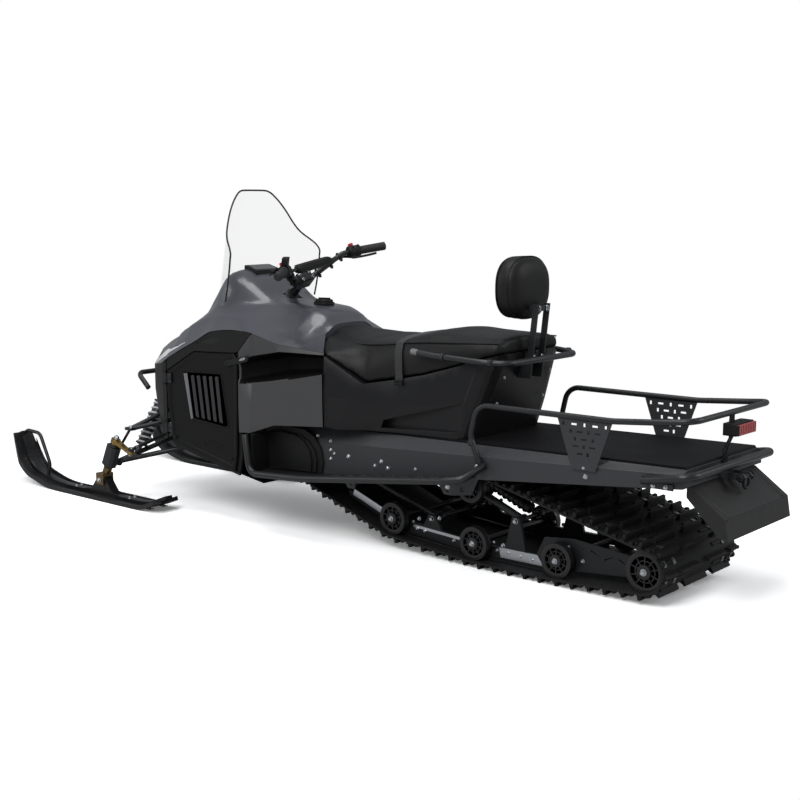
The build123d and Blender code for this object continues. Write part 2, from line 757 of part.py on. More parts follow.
# station: joint half width and height, piping, shoulder, crown height
seat_table = [
    (12.0, ((205, 742), (198, 790), (130, 838), 850)),
    (-60.0, ((222, 730), (216, 776), (150, 812), 824)),
    (-159.0, ((240, 720), (234, 772), (165, 790), 812)),
    (-163.0, ((336, 717), (326, 811), (250, 792), 810)),
    (-205.0, ((314, 687), (290, 789), (205, 778), 797)),
    (-250.0, ((289, 655), (256, 766), (176, 774), 786)),
    (-300.0, ((265, 620), (240, 758), (170, 774), 782)),
    (-450.0, ((248, 647), (228, 778), (170, 784), 788)),
    (-520.0, ((244, 663), (224, 784), (168, 806), 812)),
    (-560.0, ((241, 671), (223, 786), (168, 814), 821)),
    (-640.0, ((235, 694), (220, 790), (163, 812), 819)),
    (-748.0, ((219, 727), (210, 796), (155, 808), 815)),
    (-856.0, ((186, 759), (180, 796), (140, 808), 813)),
]
joint_line = [(x, row[0][1]) for x, row in seat_table] + [(-900.0, 771.0)]


def base_wire(z, row, rounds=5):
    """Closed plan of the base at a height, its rear corners rounded."""
    rear, front, y_rear, y_mid, y_front = row
    half = [(front, y_front), ((front - 150), y_mid + (y_front - y_mid) * 0.22), (-450.0, y_mid),
            (rear + base_round, y_rear + 3.0)]
    for k in range(1, rounds):
        a = radians(90.0 * k / rounds)
        half.append((rear + base_round * (1 - sin(a)), y_rear - base_round * (1 - cos(a))))
    half.append((rear, y_rear - base_round))
    pts = half + [(x, -y) for x, y in reversed(half)]
    return Wire.make_polygon([Vector(x, y, z) for x, y in pts], close=True)


def base_rear_x(z):
    """Station of the base's sloping rear face at a height."""
    for (z0, a), (z1, b) in zip(base_plan, base_plan[1:]):
        if z <= z1:
            return a[0] + (b[0] - a[0]) * (z - z0) / (z1 - z0)
    return base_plan[-1][1][0]


def make_seat_base():
    body = Solid.make_loft([base_wire(z, row) for z, row in base_plan], ruled=True)
    under = [(-1000, 380), (-1000, deck_z(-1000)), (-200, deck_z(-200)), (-170, base_floor_front), (-100, base_floor_front),
             (-100, 380)]
    over = joint_line + [(-1000, 800), (-1000, 900), (100, 900), (100, 742)]
    body = body - prism_y(under, -400, 400) - prism_y(over, -400, 400)
    cut = prism_y(recess, recess_y, 400)
    return body - cut - mirrored(cut)


seat_base = make_seat_base()
save("seat_base", seat_base)


def seat_outline(row, grow):
    joint, side, shoulder, crown = row
    half = [(joint[0] + grow, joint[1] + 0.3), (side[0] + grow, side[1]), (shoulder[0] + grow * 0.7, shoulder[1] + grow * 0.7),
            (shoulder[0] * 0.45, crown + grow)]
    return both_sides(half)


save("seat", loft_x([(x, seat_outline(row, 0)) for x, row in seat_table]))


def seat_row(x):
    for (x0, a), (x1, b) in zip(seat_table, seat_table[1:]):
        if x1 <= x <= x0:
            k = (x - x0) / (x1 - x0)
            pairs = [(p[0] + k * (q[0] - p[0]), p[1] + k * (q[1] - p[1])) for p, q in zip(a[:3], b[:3])]
            return pairs[0], pairs[1], pairs[2], a[3] + k * (b[3] - a[3])


strap_x, strap_w, strap_t = -418.0, 34.0, 3.0


def make_strap():
    ends = (strap_x + strap_w / 2, strap_x - strap_w / 2)
    outer = loft_x([(x, seat_outline(seat_row(x), strap_t + 0.4)) for x in ends])
    inner = loft_x([(x, seat_outline(seat_row(x), 0.4)) for x in (ends[0] + 1, ends[1] - 1)])
    return outer - inner - block(-500, -300, -400, 400, 500, 650)


save("seat_strap", make_strap())

# Grab rail round the rear of the seat, with its two side mounts
grab_d = 22.0
grab_y, grab_rear_y, grab_rear_x, grab_z = 266.0, 205.0, -912.0, 735.0


def make_grab_rail():
    pts = [(-530, grab_y, 756), (-620, grab_y, 748), (-830, 250, 738), (grab_rear_x, grab_rear_y, grab_z),
           (grab_rear_x, -grab_rear_y, grab_z), (-830, -250, 738), (-620, -grab_y, 748), (-530, -grab_y, 756)]
    rail = bent_tube(pts, [200, 150, 50, 50, 150, 200], grab_d)
    leg = (block(-562, -540, 245, grab_y - 4, 640, 752) - seat_base).translate(Vector(0, 0.3, 0))
    stay = block(grab_rear_x, base_rear_x(731) + 12, 108, 132, 728, 734) - seat_base
    return join(rail, leg, mirrored(leg), stay, mirrored(stay))


save("grab_rail", make_grab_rail())

# Backrest: two flat bars up from the seat base, and a padded cushion ahead of them
rest_foot, rest_top = (-884.0, 664.0), (-915.0, 930.0)
rest_t, rest_bar, rest_y = 6.0, 24.0, 34.0
pad_back, pad_half, pad_z0, pad_z1 = -870.3, 112.0, 882.0, 1090.0
# depth ahead of the pad's back face, share of its half width and half height
pad_table = [(0.0, 0.80), (8.0, 0.93), (28.0, 1.0), (58.0, 0.99), (76.0, 0.90), (84.0, 0.74)]


def make_backrest_post():
    (x0, z0), (x1, z1) = rest_foot, rest_top
    bars = [prism_y([(x0, z0), (x0 + rest_bar, z0), (x1 + rest_bar, z1), (x1, z1)], s * rest_y - rest_t / 2,
                    s * rest_y + rest_t / 2) for s in (1, -1)]
    ties = [block(x0 + 4, base_rear_x(724) + 12, -rest_y, rest_y, 724, 752) - seat_base,
            block(x1 + 8, pad_back, -rest_y, rest_y, z1 - 26, z1 - 6)]
    feet = [prism_y([(base_rear_x(664), 664), (base_rear_x(712), 712), (x0, 712), (x0 + 6, 664)],
                    s * rest_y - rest_t / 2, s * rest_y + rest_t / 2) for s in (1, -1)]
    return join(bars[0], bars[1], *ties, *feet)


def make_backrest_pad():
    """Pillow: rounded front-view outlines, fullest in mid depth."""
    mid, high = (pad_z0 + pad_z1) / 2, (pad_z1 - pad_z0) / 2
    rows = []
    for depth, share in pad_table:
        half = []
        for k in range(9):
            a = radians(-90 + 22.5 * k)
            c, s = cos(a), sin(a)
            half.append((pad_half * share * abs(c) ** 0.55 + 4.0,
                         mid + high * share * (abs(s) ** 0.55) * (1 if s >= 0 else -1)))
        rows.append((pad_back + depth, both_sides(half)))
    return loft_x(rows)


save("backrest_post", make_backrest_post())
save("backrest_pad", make_backrest_pad())

# Cargo rack: one bent tube each side of the deck, joined across the rear, on two plates
plate_top, plate_low = 103.0, 45.0
plate_foot_z = 424.0


def make_rack():
    half = [(-855, rack_y + 2, 384), (-806, rack_y, 480), (-834, rack_y, rack_z), (-1374, rack_y, rack_z + 1),
            (-1560, rack_y - 4, 612), (rack_rear_x, rack_y - 20, rack_rear_z)]
    pts = half + [(x, -y, z) for x, y, z in reversed(half)]
    radii = [70, 62, 300, 300, 52, 52, 300, 300, 62, 70]
    tube, seat = bent_tube(pts, radii, rack_d), board_tube(board_tube_d + 0.6)
    return max((tube - seat - mirrored(seat)).solids(), key=lambda s: s.volume)


def make_rack_plate():
    top_z = rack_z - rack_d / 2 + 2.0
    outline = [(bracket_x - plate_top, top_z), (bracket_x + plate_top, top_z), (bracket_x + plate_low, plate_foot_z),
               (bracket_x - plate_low, plate_foot_z)]
    plate = prism_y(outline, tunnel_half + 5, tunnel_half + 5 + plate_t)
    for row, (z, step, count) in enumerate(((572, 40, 5), (548, 34, 4), (524, 34, 3), (500, 32, 3), (476, 30, 2))):
        for k in range(count):
            x = bracket_x + step * (k - (count - 1) / 2)
            wide = (row + k) % 2
            w, h = (22, 7) if wide else (9, 13)
            plate = plate - block(x - w / 2, x + w / 2, tunnel_half, tunnel_half + 20, z - h / 2, z + h / 2)
    boss = disc_y(bracket_x, plate_foot_z + 12, 14, tunnel_half, tunnel_half + 5)
    return plate + boss


rack = make_rack()
save("cargo_rack", rack)
rack_plate = make_rack_plate() - rack
save("rack_plates", rack_plate, mirrored(rack_plate))

# Tail lamp on a strap between the rack and the rear end of the tunnel
lamp_x, lamp_z = rack_rear_x - 14.0, 572.0


def make_lamp_bracket():
    strap = prism_y([(tunnel_rear, 434), (tunnel_rear - 5, 434), (tunnel_rear - 5, 500), (rack_rear_x + 5, 540),
                     (rack_rear_x + 5, 612), (rack_rear_x + 10, 612), (rack_rear_x + 10, 538), (tunnel_rear, 497)], -16, 16)
    return strap


def make_tail_lamp():
    body = block(lamp_x - 24, rack_rear_x + 8, -62, 62, lamp_z - 20, lamp_z + 20)
    lens = block(lamp_x - 34, lamp_x - 24, -58, 58, lamp_z - 17, lamp_z + 17)
    return join(body, make_lamp_bracket()) - rack, lens


lamp_body, lamp_lens = make_tail_lamp()
save("tail_lamp", lamp_body)
save("tail_lens", lamp_lens)


def make_rear_bumper():
    y_side = tunnel_half + bumper_d / 2 + 0.3
    half = [(-1490, y_side, 424), (rear_bumper_x, y_side + 2, rear_bumper_z)]
    pts = half + [(x, -y, z) for x, y, z in reversed(half)]
    tube = bent_tube(pts, [42, 42], bumper_d)
    tabs = [block(rear_bumper_x, tunnel_rear, s * 120 - 20, s * 120 + 20, 438, 444) for s in (1, -1)]
    return join(tube, *tabs)


save("rear_bumper", make_rear_bumper())


def make_hitch():
    cheeks = [prism_y([(tunnel_rear, 428), (tunnel_rear, 408.2), (-1700, 404), (-1712, 416), (-1700, 428)], s * 24 - 4,
                      s * 24 + 4) for s in (1, -1)]
    root = block(tunnel_rear - 6, tunnel_rear, -28, 28, 408.2, 432)
    body = join(root, *cheeks)
    return body - disc_y(-1696, 416, 8.5, -60, 60)


save("tow_hitch", make_hitch())


def make_flap():
    z_top = skirt_rear_z - 1.4
    x_top = tunnel_rear + 12
    line = [(x_top, z_top), (tunnel_rear - 3, z_top), (flap_ridge_x, flap_ridge_z), (flap_lip_x, flap_lip_z)]
    inner = [(flap_lip_x + flap_t, flap_lip_z), (flap_ridge_x + flap_t, flap_ridge_z - flap_t), (x_top, z_top - flap_t - 1)]
    plate = prism_y(line + inner, -flap_half, flap_half)
    web = prism_y(line + [(flap_lip_x + 30, flap_lip_z + 6), (x_top, z_top - 34)], flap_half - 4, flap_half)
    return join(plate, web, mirrored(web))


save("snow_flap", make_flap())

# Front bumper: cross tube ahead of the nose, ends bent back, on two plates down to the frame
front_bumper_x, front_bumper_z, front_bumper_y = 1114.0, 536.0, 205.0


def make_front_bumper():
    end = (1042, front_bumper_y + 4, 478)
    pts = [end, (front_bumper_x, front_bumper_y, front_bumper_z), (front_bumper_x, -front_bumper_y, front_bumper_z),
           (end[0], -end[1], end[2])]
    tube = bent_tube(pts, [30, 30], 22)
    plate = prism_y([(1011.3, 440), (1011.3, 395), (1022, 395), (front_bumper_x + 4, 520), (front_bumper_x - 6, 530)],
                    96, 102)
    return join(tube, plate, mirrored(plate))


save("front_bumper", make_front_bumper())

# Front suspension, left side modelled and mirrored
king_u = (Vector(*kingpin_top) - Vector(*kingpin_foot)).normalized()
king_0 = Vector(*kingpin_foot)


def on_king(s):
    return king_0 + king_u * s


def king_cylinder(s0, s1, d):
    return Solid.make_cylinder(d / 2, s1 - s0, Plane(origin=on_king(s0), z_dir=king_u))


housing_bore = kingpin_d + 1.0


def make_knuckle():
    plane = Plane(origin=on_king(72), x_dir=(king_u.Z, 0, -king_u.X), z_dir=king_u)
    outline = [(-33, -12), (-24, -21), (22, -21), (32, -10), (32, 14), (20, 25), (-22, 25), (-33, 14)]
    body = extrude(plane * make_face(Polyline(*outline, close=True)), amount=92).solid()
    low_ear = block(1078, 1118, 365.3, 384, 144, 170)
    top_ear = block(1056, 1080, 338, 372, 220, 230)
    return join(body, low_ear, top_ear) - king_cylinder(20, 230, housing_bore)


knuckle = make_knuckle()
save("knuckles", knuckle, mirrored(knuckle))


def make_upper_arm():
    plate = block(990, 1034, 322, 350, 306, 318)
    tubes = [rod((1010, 338, 312), (x, frame_half, z), 20) for x, z in ((948, 392), (880, 352))]
    link = rod((1014, 338, 308), (1066, 349, 234.2), 12)
    arm = join(plate, *tubes, link)
    return arm - block(840, 1040, 0, frame_half + 0.3, 300, 450)


upper_arm = make_upper_arm()


def make_lower_arm():
    boss = Solid.make_cylinder(15, 44, Plane(origin=(1076, 350, 157), z_dir=(1, 0, 0)))
    tubes = [rod((1098, 350, 157), (x, frame_half, z), 22) for x, z in ((975, 248), (800, 240))]
    brace = rod((1056, 285, 184), (1000, 285, 183), 18)
    arm = join(boss, *tubes, brace)
    return arm - block(780, 1100, 0, frame_half + 0.3, 200, 300)


lower_arm = make_lower_arm()
save("suspension_arms", upper_arm, mirrored(upper_arm), lower_arm, mirrored(lower_arm))


def make_front_shock():
    a, b = Vector(1030, 284, 198), Vector(1000, frame_half + 16, 440)
    u = (b - a).normalized()
    eye = Solid.make_cylinder(11, 24, Plane(origin=(1018, 284, 204.4), z_dir=(1, 0, 0)))
    pin = rod((1000, frame_half + 0.3, 440), (1000, frame_half + 28, 440), 16)
    return join(rod(tuple(a), tuple(b), 14), rod(tuple(a + u * 34), tuple(b - u * 30), 46), eye, pin)


front_shock = make_front_shock()
save("front_shocks", front_shock, mirrored(front_shock))

# Steered pieces of the left side: spindle, steering arm and ski


def make_spindle():
    shaft = king_cylinder(30, 204, kingpin_d)
    collar = king_cylinder(34, 62, 38)
    bridge = block(1104, 1154, -28 + ski_y, 28 + ski_y, 98, 112)
    cheek = prism_y([(1104, 62), (1154, 62), (1154, 112), (1104, 112)], ski_y + 21, ski_y + 28)
    other = cheek.translate(Vector(0, -49, 0))
    bolt = disc_y(1129, 82, 7, ski_y - 34, ski_y + 34)
    return join(shaft, collar, bridge, cheek, other, bolt)


save_pair("spindle", make_spindle())

arm_dir = Vector(-king_u.Z, 0, king_u.X).normalized()
arm_root = on_king(190)
arm_end = arm_root + arm_dir * arm_length


def make_steering_arm():
    hub = king_cylinder(181, 199, 42)
    boss = Solid.make_cylinder(13, 14, Plane(origin=arm_end - king_u * 7, z_dir=king_u))
    side = Vector(0, 1, 0)
    side = (side - king_u * side.dot(king_u)).normalized()
    a, b = arm_root - king_u * 6, arm_end - king_u * 6
    face = Face(Wire.make_polygon([a + side * 17, b + side * 11, b - side * 11, a - side * 17], close=True))
    web = Solid.extrude(face, king_u * 12)
    arm = join(hub, boss, web)
    bolt_hole = Solid.make_cylinder(5.2, 60, Plane(origin=arm_end - king_u * 30, z_dir=king_u))
    return arm - king_cylinder(150, 230, kingpin_d + 0.3) - bolt_hole


save_pair("steering_arm", make_steering_arm())

ski_t = 8.0
ski_line = [(690.0, 50.0), (812.0, 4.0), (1470.0, 4.0), (1680.0, 58.0), (1750.0, 222.0)]
ski_radii = [260.0, 620.0, 170.0]


def make_ski():
    path = FilletPolyline(*[(x, ski_y, z) for x, z in ski_line], radius=ski_radii)
    x0, z0 = ski_line[0]
    x1, z1 = ski_line[1]
    start = Plane(origin=(x0, ski_y, z0), x_dir=(0, 1, 0), z_dir=(x1 - x0, 0, z1 - z0))
    up = -1.0 if start.y_dir.Z < 0 else 1.0
    parts = [(0, 0, 2 * ski_half, ski_t)]
    parts += [(s * (ski_half - 5), up * (ski_t / 2 + 5), 10, 10) for s in (-1, 1)]
    parts += [(0, up * (ski_t / 2 + 9), 38, 18)]
    body = None
    for cy, cz, w, h in parts:
        bar = sweep(start * (Pos(cy, cz) * Rectangle(w, h)), path=path).solid()
        body = bar if body is None else body + bar
    plan = prism_z([(680, ski_y - 40), (720, ski_y - ski_half), (1690, ski_y - ski_half), (1762, ski_y - 44),
                    (1762, ski_y + 44), (1690, ski_y + ski_half), (720, ski_y + ski_half), (680, ski_y + 40)], -20, 300)
    body = body & plan
    saddle = prism_y([(1030, 4), (1228, 4), (1152, 95), (1106, 95)], ski_y - 20, ski_y + 20)
    body = body + saddle - disc_y(1129, 82, 7.2, ski_y - 60, ski_y + 60)
    loop = bent_tube([(1745, ski_y, 214), (1700, ski_y, 236), (1608, ski_y, 232), (1536, ski_y, 96), (1560, ski_y, 26)],
                     [30, 40, 40], 16)
    return body + loop


save_pair("ski", make_ski())


def make_tie_rod():
    eye_at = arm_end + king_u * (7 + 0.3 + 7)
    eye = Solid.make_cylinder(13, 14, Plane(origin=eye_at - king_u * 7, z_dir=king_u))
    stem = Solid.make_cylinder(5, 30, Plane(origin=eye_at - king_u * 22, z_dir=king_u))
    inner = Vector(960, 112, 292)
    return join(rod(tuple(eye_at), tuple(inner), tie_rod_d), eye, stem,
                Solid.make_sphere(13).moved(Location(tuple(inner))))


save_pair("tie_rod", make_tie_rod())

# Windshield: a leaning cylinder of clear sheet, cut to outline and seated on the hood
ws_r, ws_t, ws_lean, ws_top_x, ws_top_z = 275.0, 4.0, 11.0, 575.0, 1335.0
ws_outline = [(254, 884), (272, 1030), (262, 1086), (214, 1188), (152, 1272), (92, 1331), (70, 1335)]
edge_w, edge_proud = 6.0, 1.5


def ws_shell(r0, r1):
    up = Vector(-sin(radians(ws_lean)), 0, cos(radians(ws_lean)))
    ahead = Vector(cos(radians(ws_lean)), 0, sin(radians(ws_lean)))
    foot = Vector(ws_top_x, 0, ws_top_z) - ahead * ws_r - up * 620
    plane = Plane(origin=foot, z_dir=up)
    return Solid.make_cylinder(r1, 700, plane) - Solid.make_cylinder(r0, 700, plane)


def ws_prism(inset):
    half = [(y - inset * (1 - (y / ws_r) ** 2) ** 0.5, z - (inset if z > 1300 else inset * 0.4)) for y, z in ws_outline]
    return prism_x(both_sides(half), 380, 760)


glass = (ws_shell(ws_r - ws_t, ws_r) & ws_prism(edge_w / 2)) - hood_full
glass = max(glass.solids(), key=lambda s: s.volume)
save("windshield", glass)
edge = ((ws_shell(ws_r - ws_t - edge_proud, ws_r + edge_proud) & ws_prism(0)) - ws_prism(edge_w)) - hood_full - glass
save("windshield_edge", edge)

gauge = prism_y([(556, 960), (474, 940), (478, 1004), (552, 1024)], -72, 72) - hood_full
gauge = max(gauge.solids(), key=lambda s: s.volume)
save("instrument_panel", gauge)
cap_plane = Plane(origin=(160, 0, 874.86), z_dir=(-0.05714, 0, 1))
cap = (Solid.make_cylinder(42, 29, cap_plane.offset(-20)) + Solid.make_cylinder(33, 40, cap_plane.offset(-20))) - hood_full
save("fuel_cap", cap)

# Handlebar: drawn straight, then turned on its post with all that it carries
bar_end = Vector(-165, 365, 82)
bar_bend = Vector(-72, 190, 78)
bar_root = Vector(0, 52, 0)
grip_length = 122.0


def turned(shape):
    return shape.rotate(Axis(clamp, tuple(post_u)), bar_turn)


def bar_point(v, s):
    return (clamp[0] + v.X, s * v.Y, clamp[2] + v.Z)


def make_bar_tube():
    pts = [bar_point(bar_end, 1), bar_point(bar_bend, 1), bar_point(bar_root, 1), bar_point(bar_root, -1),
           bar_point(bar_bend, -1), bar_point(bar_end, -1)]
    return bent_tube(pts, [70, 40, 40, 70], bar_d)


bar_tube = make_bar_tube()


def make_handlebar():
    post = rod(tuple(post_at(0)), tuple(post_at(-post_length)), post_d)
    block_plane = Plane(origin=post_at(-26), z_dir=post_u)
    yoke = extrude(block_plane * Rectangle(46, 76), amount=46)
    k = 0.8
    cross_at = bar_root + (bar_bend - bar_root) * k
    cross = rod(bar_point(cross_at, 1), bar_point(cross_at, -1), 14)
    return join(bar_tube, post, yoke.solid(), cross), cross_at, cross


handlebar, cross_at, cross = make_handlebar()
save("handlebar", turned(handlebar))
pad = rod(bar_point(Vector(cross_at.X, 112, cross_at.Z), 1), bar_point(Vector(cross_at.X, 112, cross_at.Z), -1), 38) - cross

bar_along = (bar_end - bar_bend).normalized()


def along_bar(back, s):
    """Point on the grip part of the bar, back from its end."""
    return Vector(*bar_point(bar_end - bar_along * back, s))


grips = [rod(tuple(along_bar(-3, s)), tuple(along_bar(grip_length, s)), grip_d) - bar_tube for s in (1, -1)]
save("grips", turned(pad), *[turned(g) for g in grips])


def make_control(s, lever_drop):
    """Clamped switch block beside a grip, with its lever ahead of the grip."""
    a, b = along_bar(grip_length + 2, s), along_bar(grip_length + 48, s)
    housing = rod(tuple(a), tuple(b), 46)
    reach = Vector(38, 0, 10 - lever_drop)
    lever = rod(tuple(b * 0.5 + a * 0.5 + Vector(10, 0, 0)), tuple(a + reach), 12)
    blade = rod(tuple(a + reach), tuple(along_bar(28, s) + reach), 12)
    return (join(housing, lever, blade) - bar_tube).solid()


save("bar_controls", *[turned(make_control(s, drop)) for s, drop in ((1, 0.0), (-1, 14.0))])
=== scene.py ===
import math

import bmesh
import bpy
from mathutils import Matrix, Vector


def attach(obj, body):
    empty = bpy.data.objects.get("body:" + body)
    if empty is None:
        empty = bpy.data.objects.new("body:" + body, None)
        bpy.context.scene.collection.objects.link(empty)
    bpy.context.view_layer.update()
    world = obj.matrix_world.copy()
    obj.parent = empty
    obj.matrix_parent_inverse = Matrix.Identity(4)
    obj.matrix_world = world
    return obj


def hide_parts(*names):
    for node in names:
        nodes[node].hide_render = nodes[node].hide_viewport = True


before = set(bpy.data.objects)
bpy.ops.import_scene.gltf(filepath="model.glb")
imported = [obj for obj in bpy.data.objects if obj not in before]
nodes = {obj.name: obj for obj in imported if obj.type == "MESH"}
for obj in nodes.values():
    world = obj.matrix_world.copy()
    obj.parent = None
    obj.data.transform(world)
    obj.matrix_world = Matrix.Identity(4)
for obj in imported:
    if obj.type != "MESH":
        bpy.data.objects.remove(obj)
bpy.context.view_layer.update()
scene = bpy.context.scene


# ---- Studio ----
# A white seamless paper floor under large soft lamps, seen from behind the machine's left side
# through a 59 mm lens, at seat height and a little above.
CAMERA_AT = Vector((-3.514, 3.822, 1.294))
CAMERA_YAW, CAMERA_DOWN, CAMERA_ROLL = math.radians(-49.446), math.radians(8.734), math.radians(-0.145)
CAMERA_LENS_MM = 58.72


def linear(hex_colour, alpha=1.0):
    """An sRGB hex colour as the linear values that a shader takes."""
    parts = [int(hex_colour[i:i + 2], 16) / 255 for i in (1, 3, 5)]
    return tuple(p / 12.92 if p <= 0.04045 else ((p + 0.055) / 1.055) ** 2.4 for p in parts) + (alpha,)


def add_node(tree, kind, settings=None, **links):
    """Adds a shader node. Settings go to its properties or sockets, links are (node, socket) pairs."""
    node = tree.nodes.new("ShaderNode" + kind)
    for key, value in (settings or {}).items():
        if key in node.inputs:
            node.inputs[key].default_value = value
        else:
            setattr(node, key, value)
    for key, source in links.items():
        numbered = key[0] == "i" and key[1:].isdigit()
        socket = node.inputs[int(key[1:])] if numbered else node.inputs[key.replace("_", " ")]
        tree.links.new(source[0].outputs[source[1]], socket)
    return node


def new_material(name):
    """An empty node material and its tree."""
    material = bpy.data.materials.new(name)
    material.use_nodes = True
    material.node_tree.nodes.clear()
    return material, material.node_tree


camera = bpy.data.objects.new("camera", bpy.data.cameras.new("camera"))
scene.collection.objects.link(camera)
ahead = Vector((math.cos(CAMERA_YAW) * math.cos(CAMERA_DOWN), math.sin(CAMERA_YAW) * math.cos(CAMERA_DOWN),
                -math.sin(CAMERA_DOWN)))
level = Vector((math.sin(CAMERA_YAW), -math.cos(CAMERA_YAW), 0))
over = level.cross(ahead)
right = level * math.cos(CAMERA_ROLL) + over * math.sin(CAMERA_ROLL)
up = over * math.cos(CAMERA_ROLL) - level * math.sin(CAMERA_ROLL)
camera.matrix_world = Matrix.Translation(CAMERA_AT) @ Matrix((right, up, -ahead)).transposed().to_4x4()
camera.data.lens = CAMERA_LENS_MM
camera.data.sensor_width = 36
camera.data.clip_end = 100
scene.camera = camera
scene.view_settings.view_transform = "Standard"

# name, place, aimed at, size, power
for name, place, aim, size, power in (
        ("key", (-1.7, 3.9, 4.0), (-0.1, 0, 0.5), 2.4, 130),
        ("front_fill", (4.6, 3.6, 2.6), (0.4, 0, 0.5), 2.6, 45),
        ("back_rim", (-4.6, -2.6, 3.0), (-0.4, 0, 0.6), 2.6, 60),
        ("overhead", (0.2, 0.6, 5.2), (0, 0, 0.4), 2.6, 95)):
    lamp = bpy.data.objects.new(name, bpy.data.lights.new(name, "AREA"))
    scene.collection.objects.link(lamp)
    lamp.data.shape, lamp.data.size, lamp.data.energy = "SQUARE", size, power
    lamp.location = place
    lamp.rotation_euler = (Vector(aim) - Vector(place)).to_track_quat("-Z", "Y").to_euler()

world = bpy.data.worlds.new("studio_air")
scene.world = world
world.use_nodes = True
air = world.node_tree
air.nodes.clear()
seen = add_node(air, "LightPath")
glow = add_node(air, "Background", {"Color": linear("#c9ccd0"), "Strength": 0.5})
white = add_node(air, "Background", {"Color": (1, 1, 1, 1), "Strength": 1.0})
shown = add_node(air, "Math", {"operation": "MAXIMUM"}, i0=(seen, "Is Camera Ray"),
                 i1=(seen, "Is Transmission Ray"))
both = add_node(air, "MixShader", None, i0=(shown, 0), i1=(glow, 0), i2=(white, 0))
add_node(air, "OutputWorld", None, Surface=(both, 0))

# The floor shows white to the camera and keeps the shadow: lit paper, scaled above 1 for camera
# rays so that it just clips, with a little light of its own to thin the shadow.
FLOOR_HALF, PAPER_SCALE, PAPER_LIFT = 40.0, 1.7, 0.12
FADE_FROM_M, FADE_TO_M = 1.7, 2.6
floor_mesh = bpy.data.meshes.new("floor")
floor_mesh.from_pydata([(-FLOOR_HALF, -FLOOR_HALF, 0), (FLOOR_HALF, -FLOOR_HALF, 0),
                        (FLOOR_HALF, FLOOR_HALF, 0),
                        (-FLOOR_HALF, FLOOR_HALF, 0)], [], [(0, 1, 2, 3)])
floor = bpy.data.objects.new("floor", floor_mesh)
scene.collection.objects.link(floor)
paper, tree = new_material("matt_studio_paper")
seen = add_node(tree, "LightPath")
lit = add_node(tree, "BsdfDiffuse", {"Color": (PAPER_SCALE, PAPER_SCALE, PAPER_SCALE, 1)})
lift = add_node(tree, "Emission", {"Color": (1, 1, 1, 1), "Strength": PAPER_LIFT})
near = add_node(tree, "AddShader", None, i0=(lit, 0), i1=(lift, 0))
# far from the machine the paper fades to plain white, so that no horizon shows
place = add_node(tree, "NewGeometry")
far_off = add_node(tree, "VectorMath", {"operation": "LENGTH"}, i0=(place, "Position"))
fade = add_node(tree, "MapRange", {"From Min": FADE_FROM_M, "From Max": FADE_TO_M}, Value=(far_off, "Value"))
pure = add_node(tree, "Emission", {"Color": (1, 1, 1, 1), "Strength": 1.0})
pale = add_node(tree, "MixShader", None, i0=(fade, 0), i1=(near, 0), i2=(pure, 0))
plain = add_node(tree, "BsdfDiffuse", {"Color": linear("#c4c4c4")})
shown = add_node(tree, "Math", {"operation": "MAXIMUM"}, i0=(seen, "Is Camera Ray"),
                 i1=(seen, "Is Transmission Ray"))
both = add_node(tree, "MixShader", None, i0=(shown, 0), i1=(plain, 0), i2=(pale, 0))
add_node(tree, "OutputMaterial", None, Surface=(both, 0))
floor_mesh.materials.append(paper)


# ---- Track ----
# A belt of moulded rubber over fabric plies, with rows of lugs 20 mm high. Steel clips are pinched
# round the bars between its windows, where the drive wheels' teeth pull.

def surface(name, colour, roughness, metallic=0.0, mottle=(60.0, 0.12), grain=(2.0, 0.05), rough_spread=0.08,
            coat=0.0, shine=0.5):
    """Principled material. mottle is (size in mm, share of brightness), grain is (size in mm, bump in mm)."""
    material, tree = new_material(name)
    place = add_node(tree, "TexCoord")
    patches = add_node(tree, "TexNoise", {"Scale": 1000 / mottle[0], "Detail": 3.0}, Vector=(place, "Object"))
    base = linear(colour)
    dark = tuple(c * (1 - mottle[1]) for c in base[:3]) + (1,)
    pale = tuple(min(1, c * (1 + mottle[1])) for c in base[:3]) + (1,)
    tint = add_node(tree, "MixRGB", {"Color1": dark, "Color2": pale}, Fac=(patches, 0))
    fine = add_node(tree, "TexNoise", {"Scale": 1000 / grain[0], "Detail": 2.0}, Vector=(place, "Object"))
    bump = add_node(tree, "Bump", {"Strength": 1.0, "Distance": grain[1] / 1000}, Height=(fine, 0))
    dull = add_node(tree, "MapRange", {"To Min": roughness - rough_spread,
                                       "To Max": roughness + rough_spread},
                    Value=(patches, 0))
    shader = add_node(tree, "BsdfPrincipled", {"Metallic": metallic, "Coat Weight": coat,
                                               "Coat Roughness": 0.06,
                                                "Specular IOR Level": shine},
                      Base_Color=(tint, 0), Roughness=(dull, 0), Normal=(bump, 0))
    add_node(tree, "OutputMaterial", None, Surface=(shader, 0))
    return material


def round_edges(thing, edge_mm, angle=32, segments=2):
    """Rounds an object's sharp edges, as a press, mould or coat does."""
    weld = thing.modifiers.new("joined_corners", "WELD")
    weld.merge_threshold = 1e-5
    if edge_mm:
        over = thing.modifiers.new("rounded_edges", "BEVEL")
        over.width = edge_mm / 1000
        over.segments = segments
        over.limit_method = "ANGLE"
        over.angle_limit = math.radians(angle)
        over.use_clamp_overlap = True
        over.harden_normals = True


def dress(node, material, edge_mm):
    """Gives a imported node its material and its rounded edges."""
    thing = nodes[node]
    thing.data.materials.clear()
    thing.data.materials.append(material)
    round_edges(thing, edge_mm)
    return thing


def circle_angles(count, steps=None):
    """Angles of a circle's points; steps of the circle if they are fewer or more than the points."""
    return [2 * math.pi * k / (steps or count) for k in range(count)]


def squared(value, power):
    """Sine or cosine drawn out towards the corners, for a circle with flattened sides."""
    return math.copysign(abs(value) ** power, value)


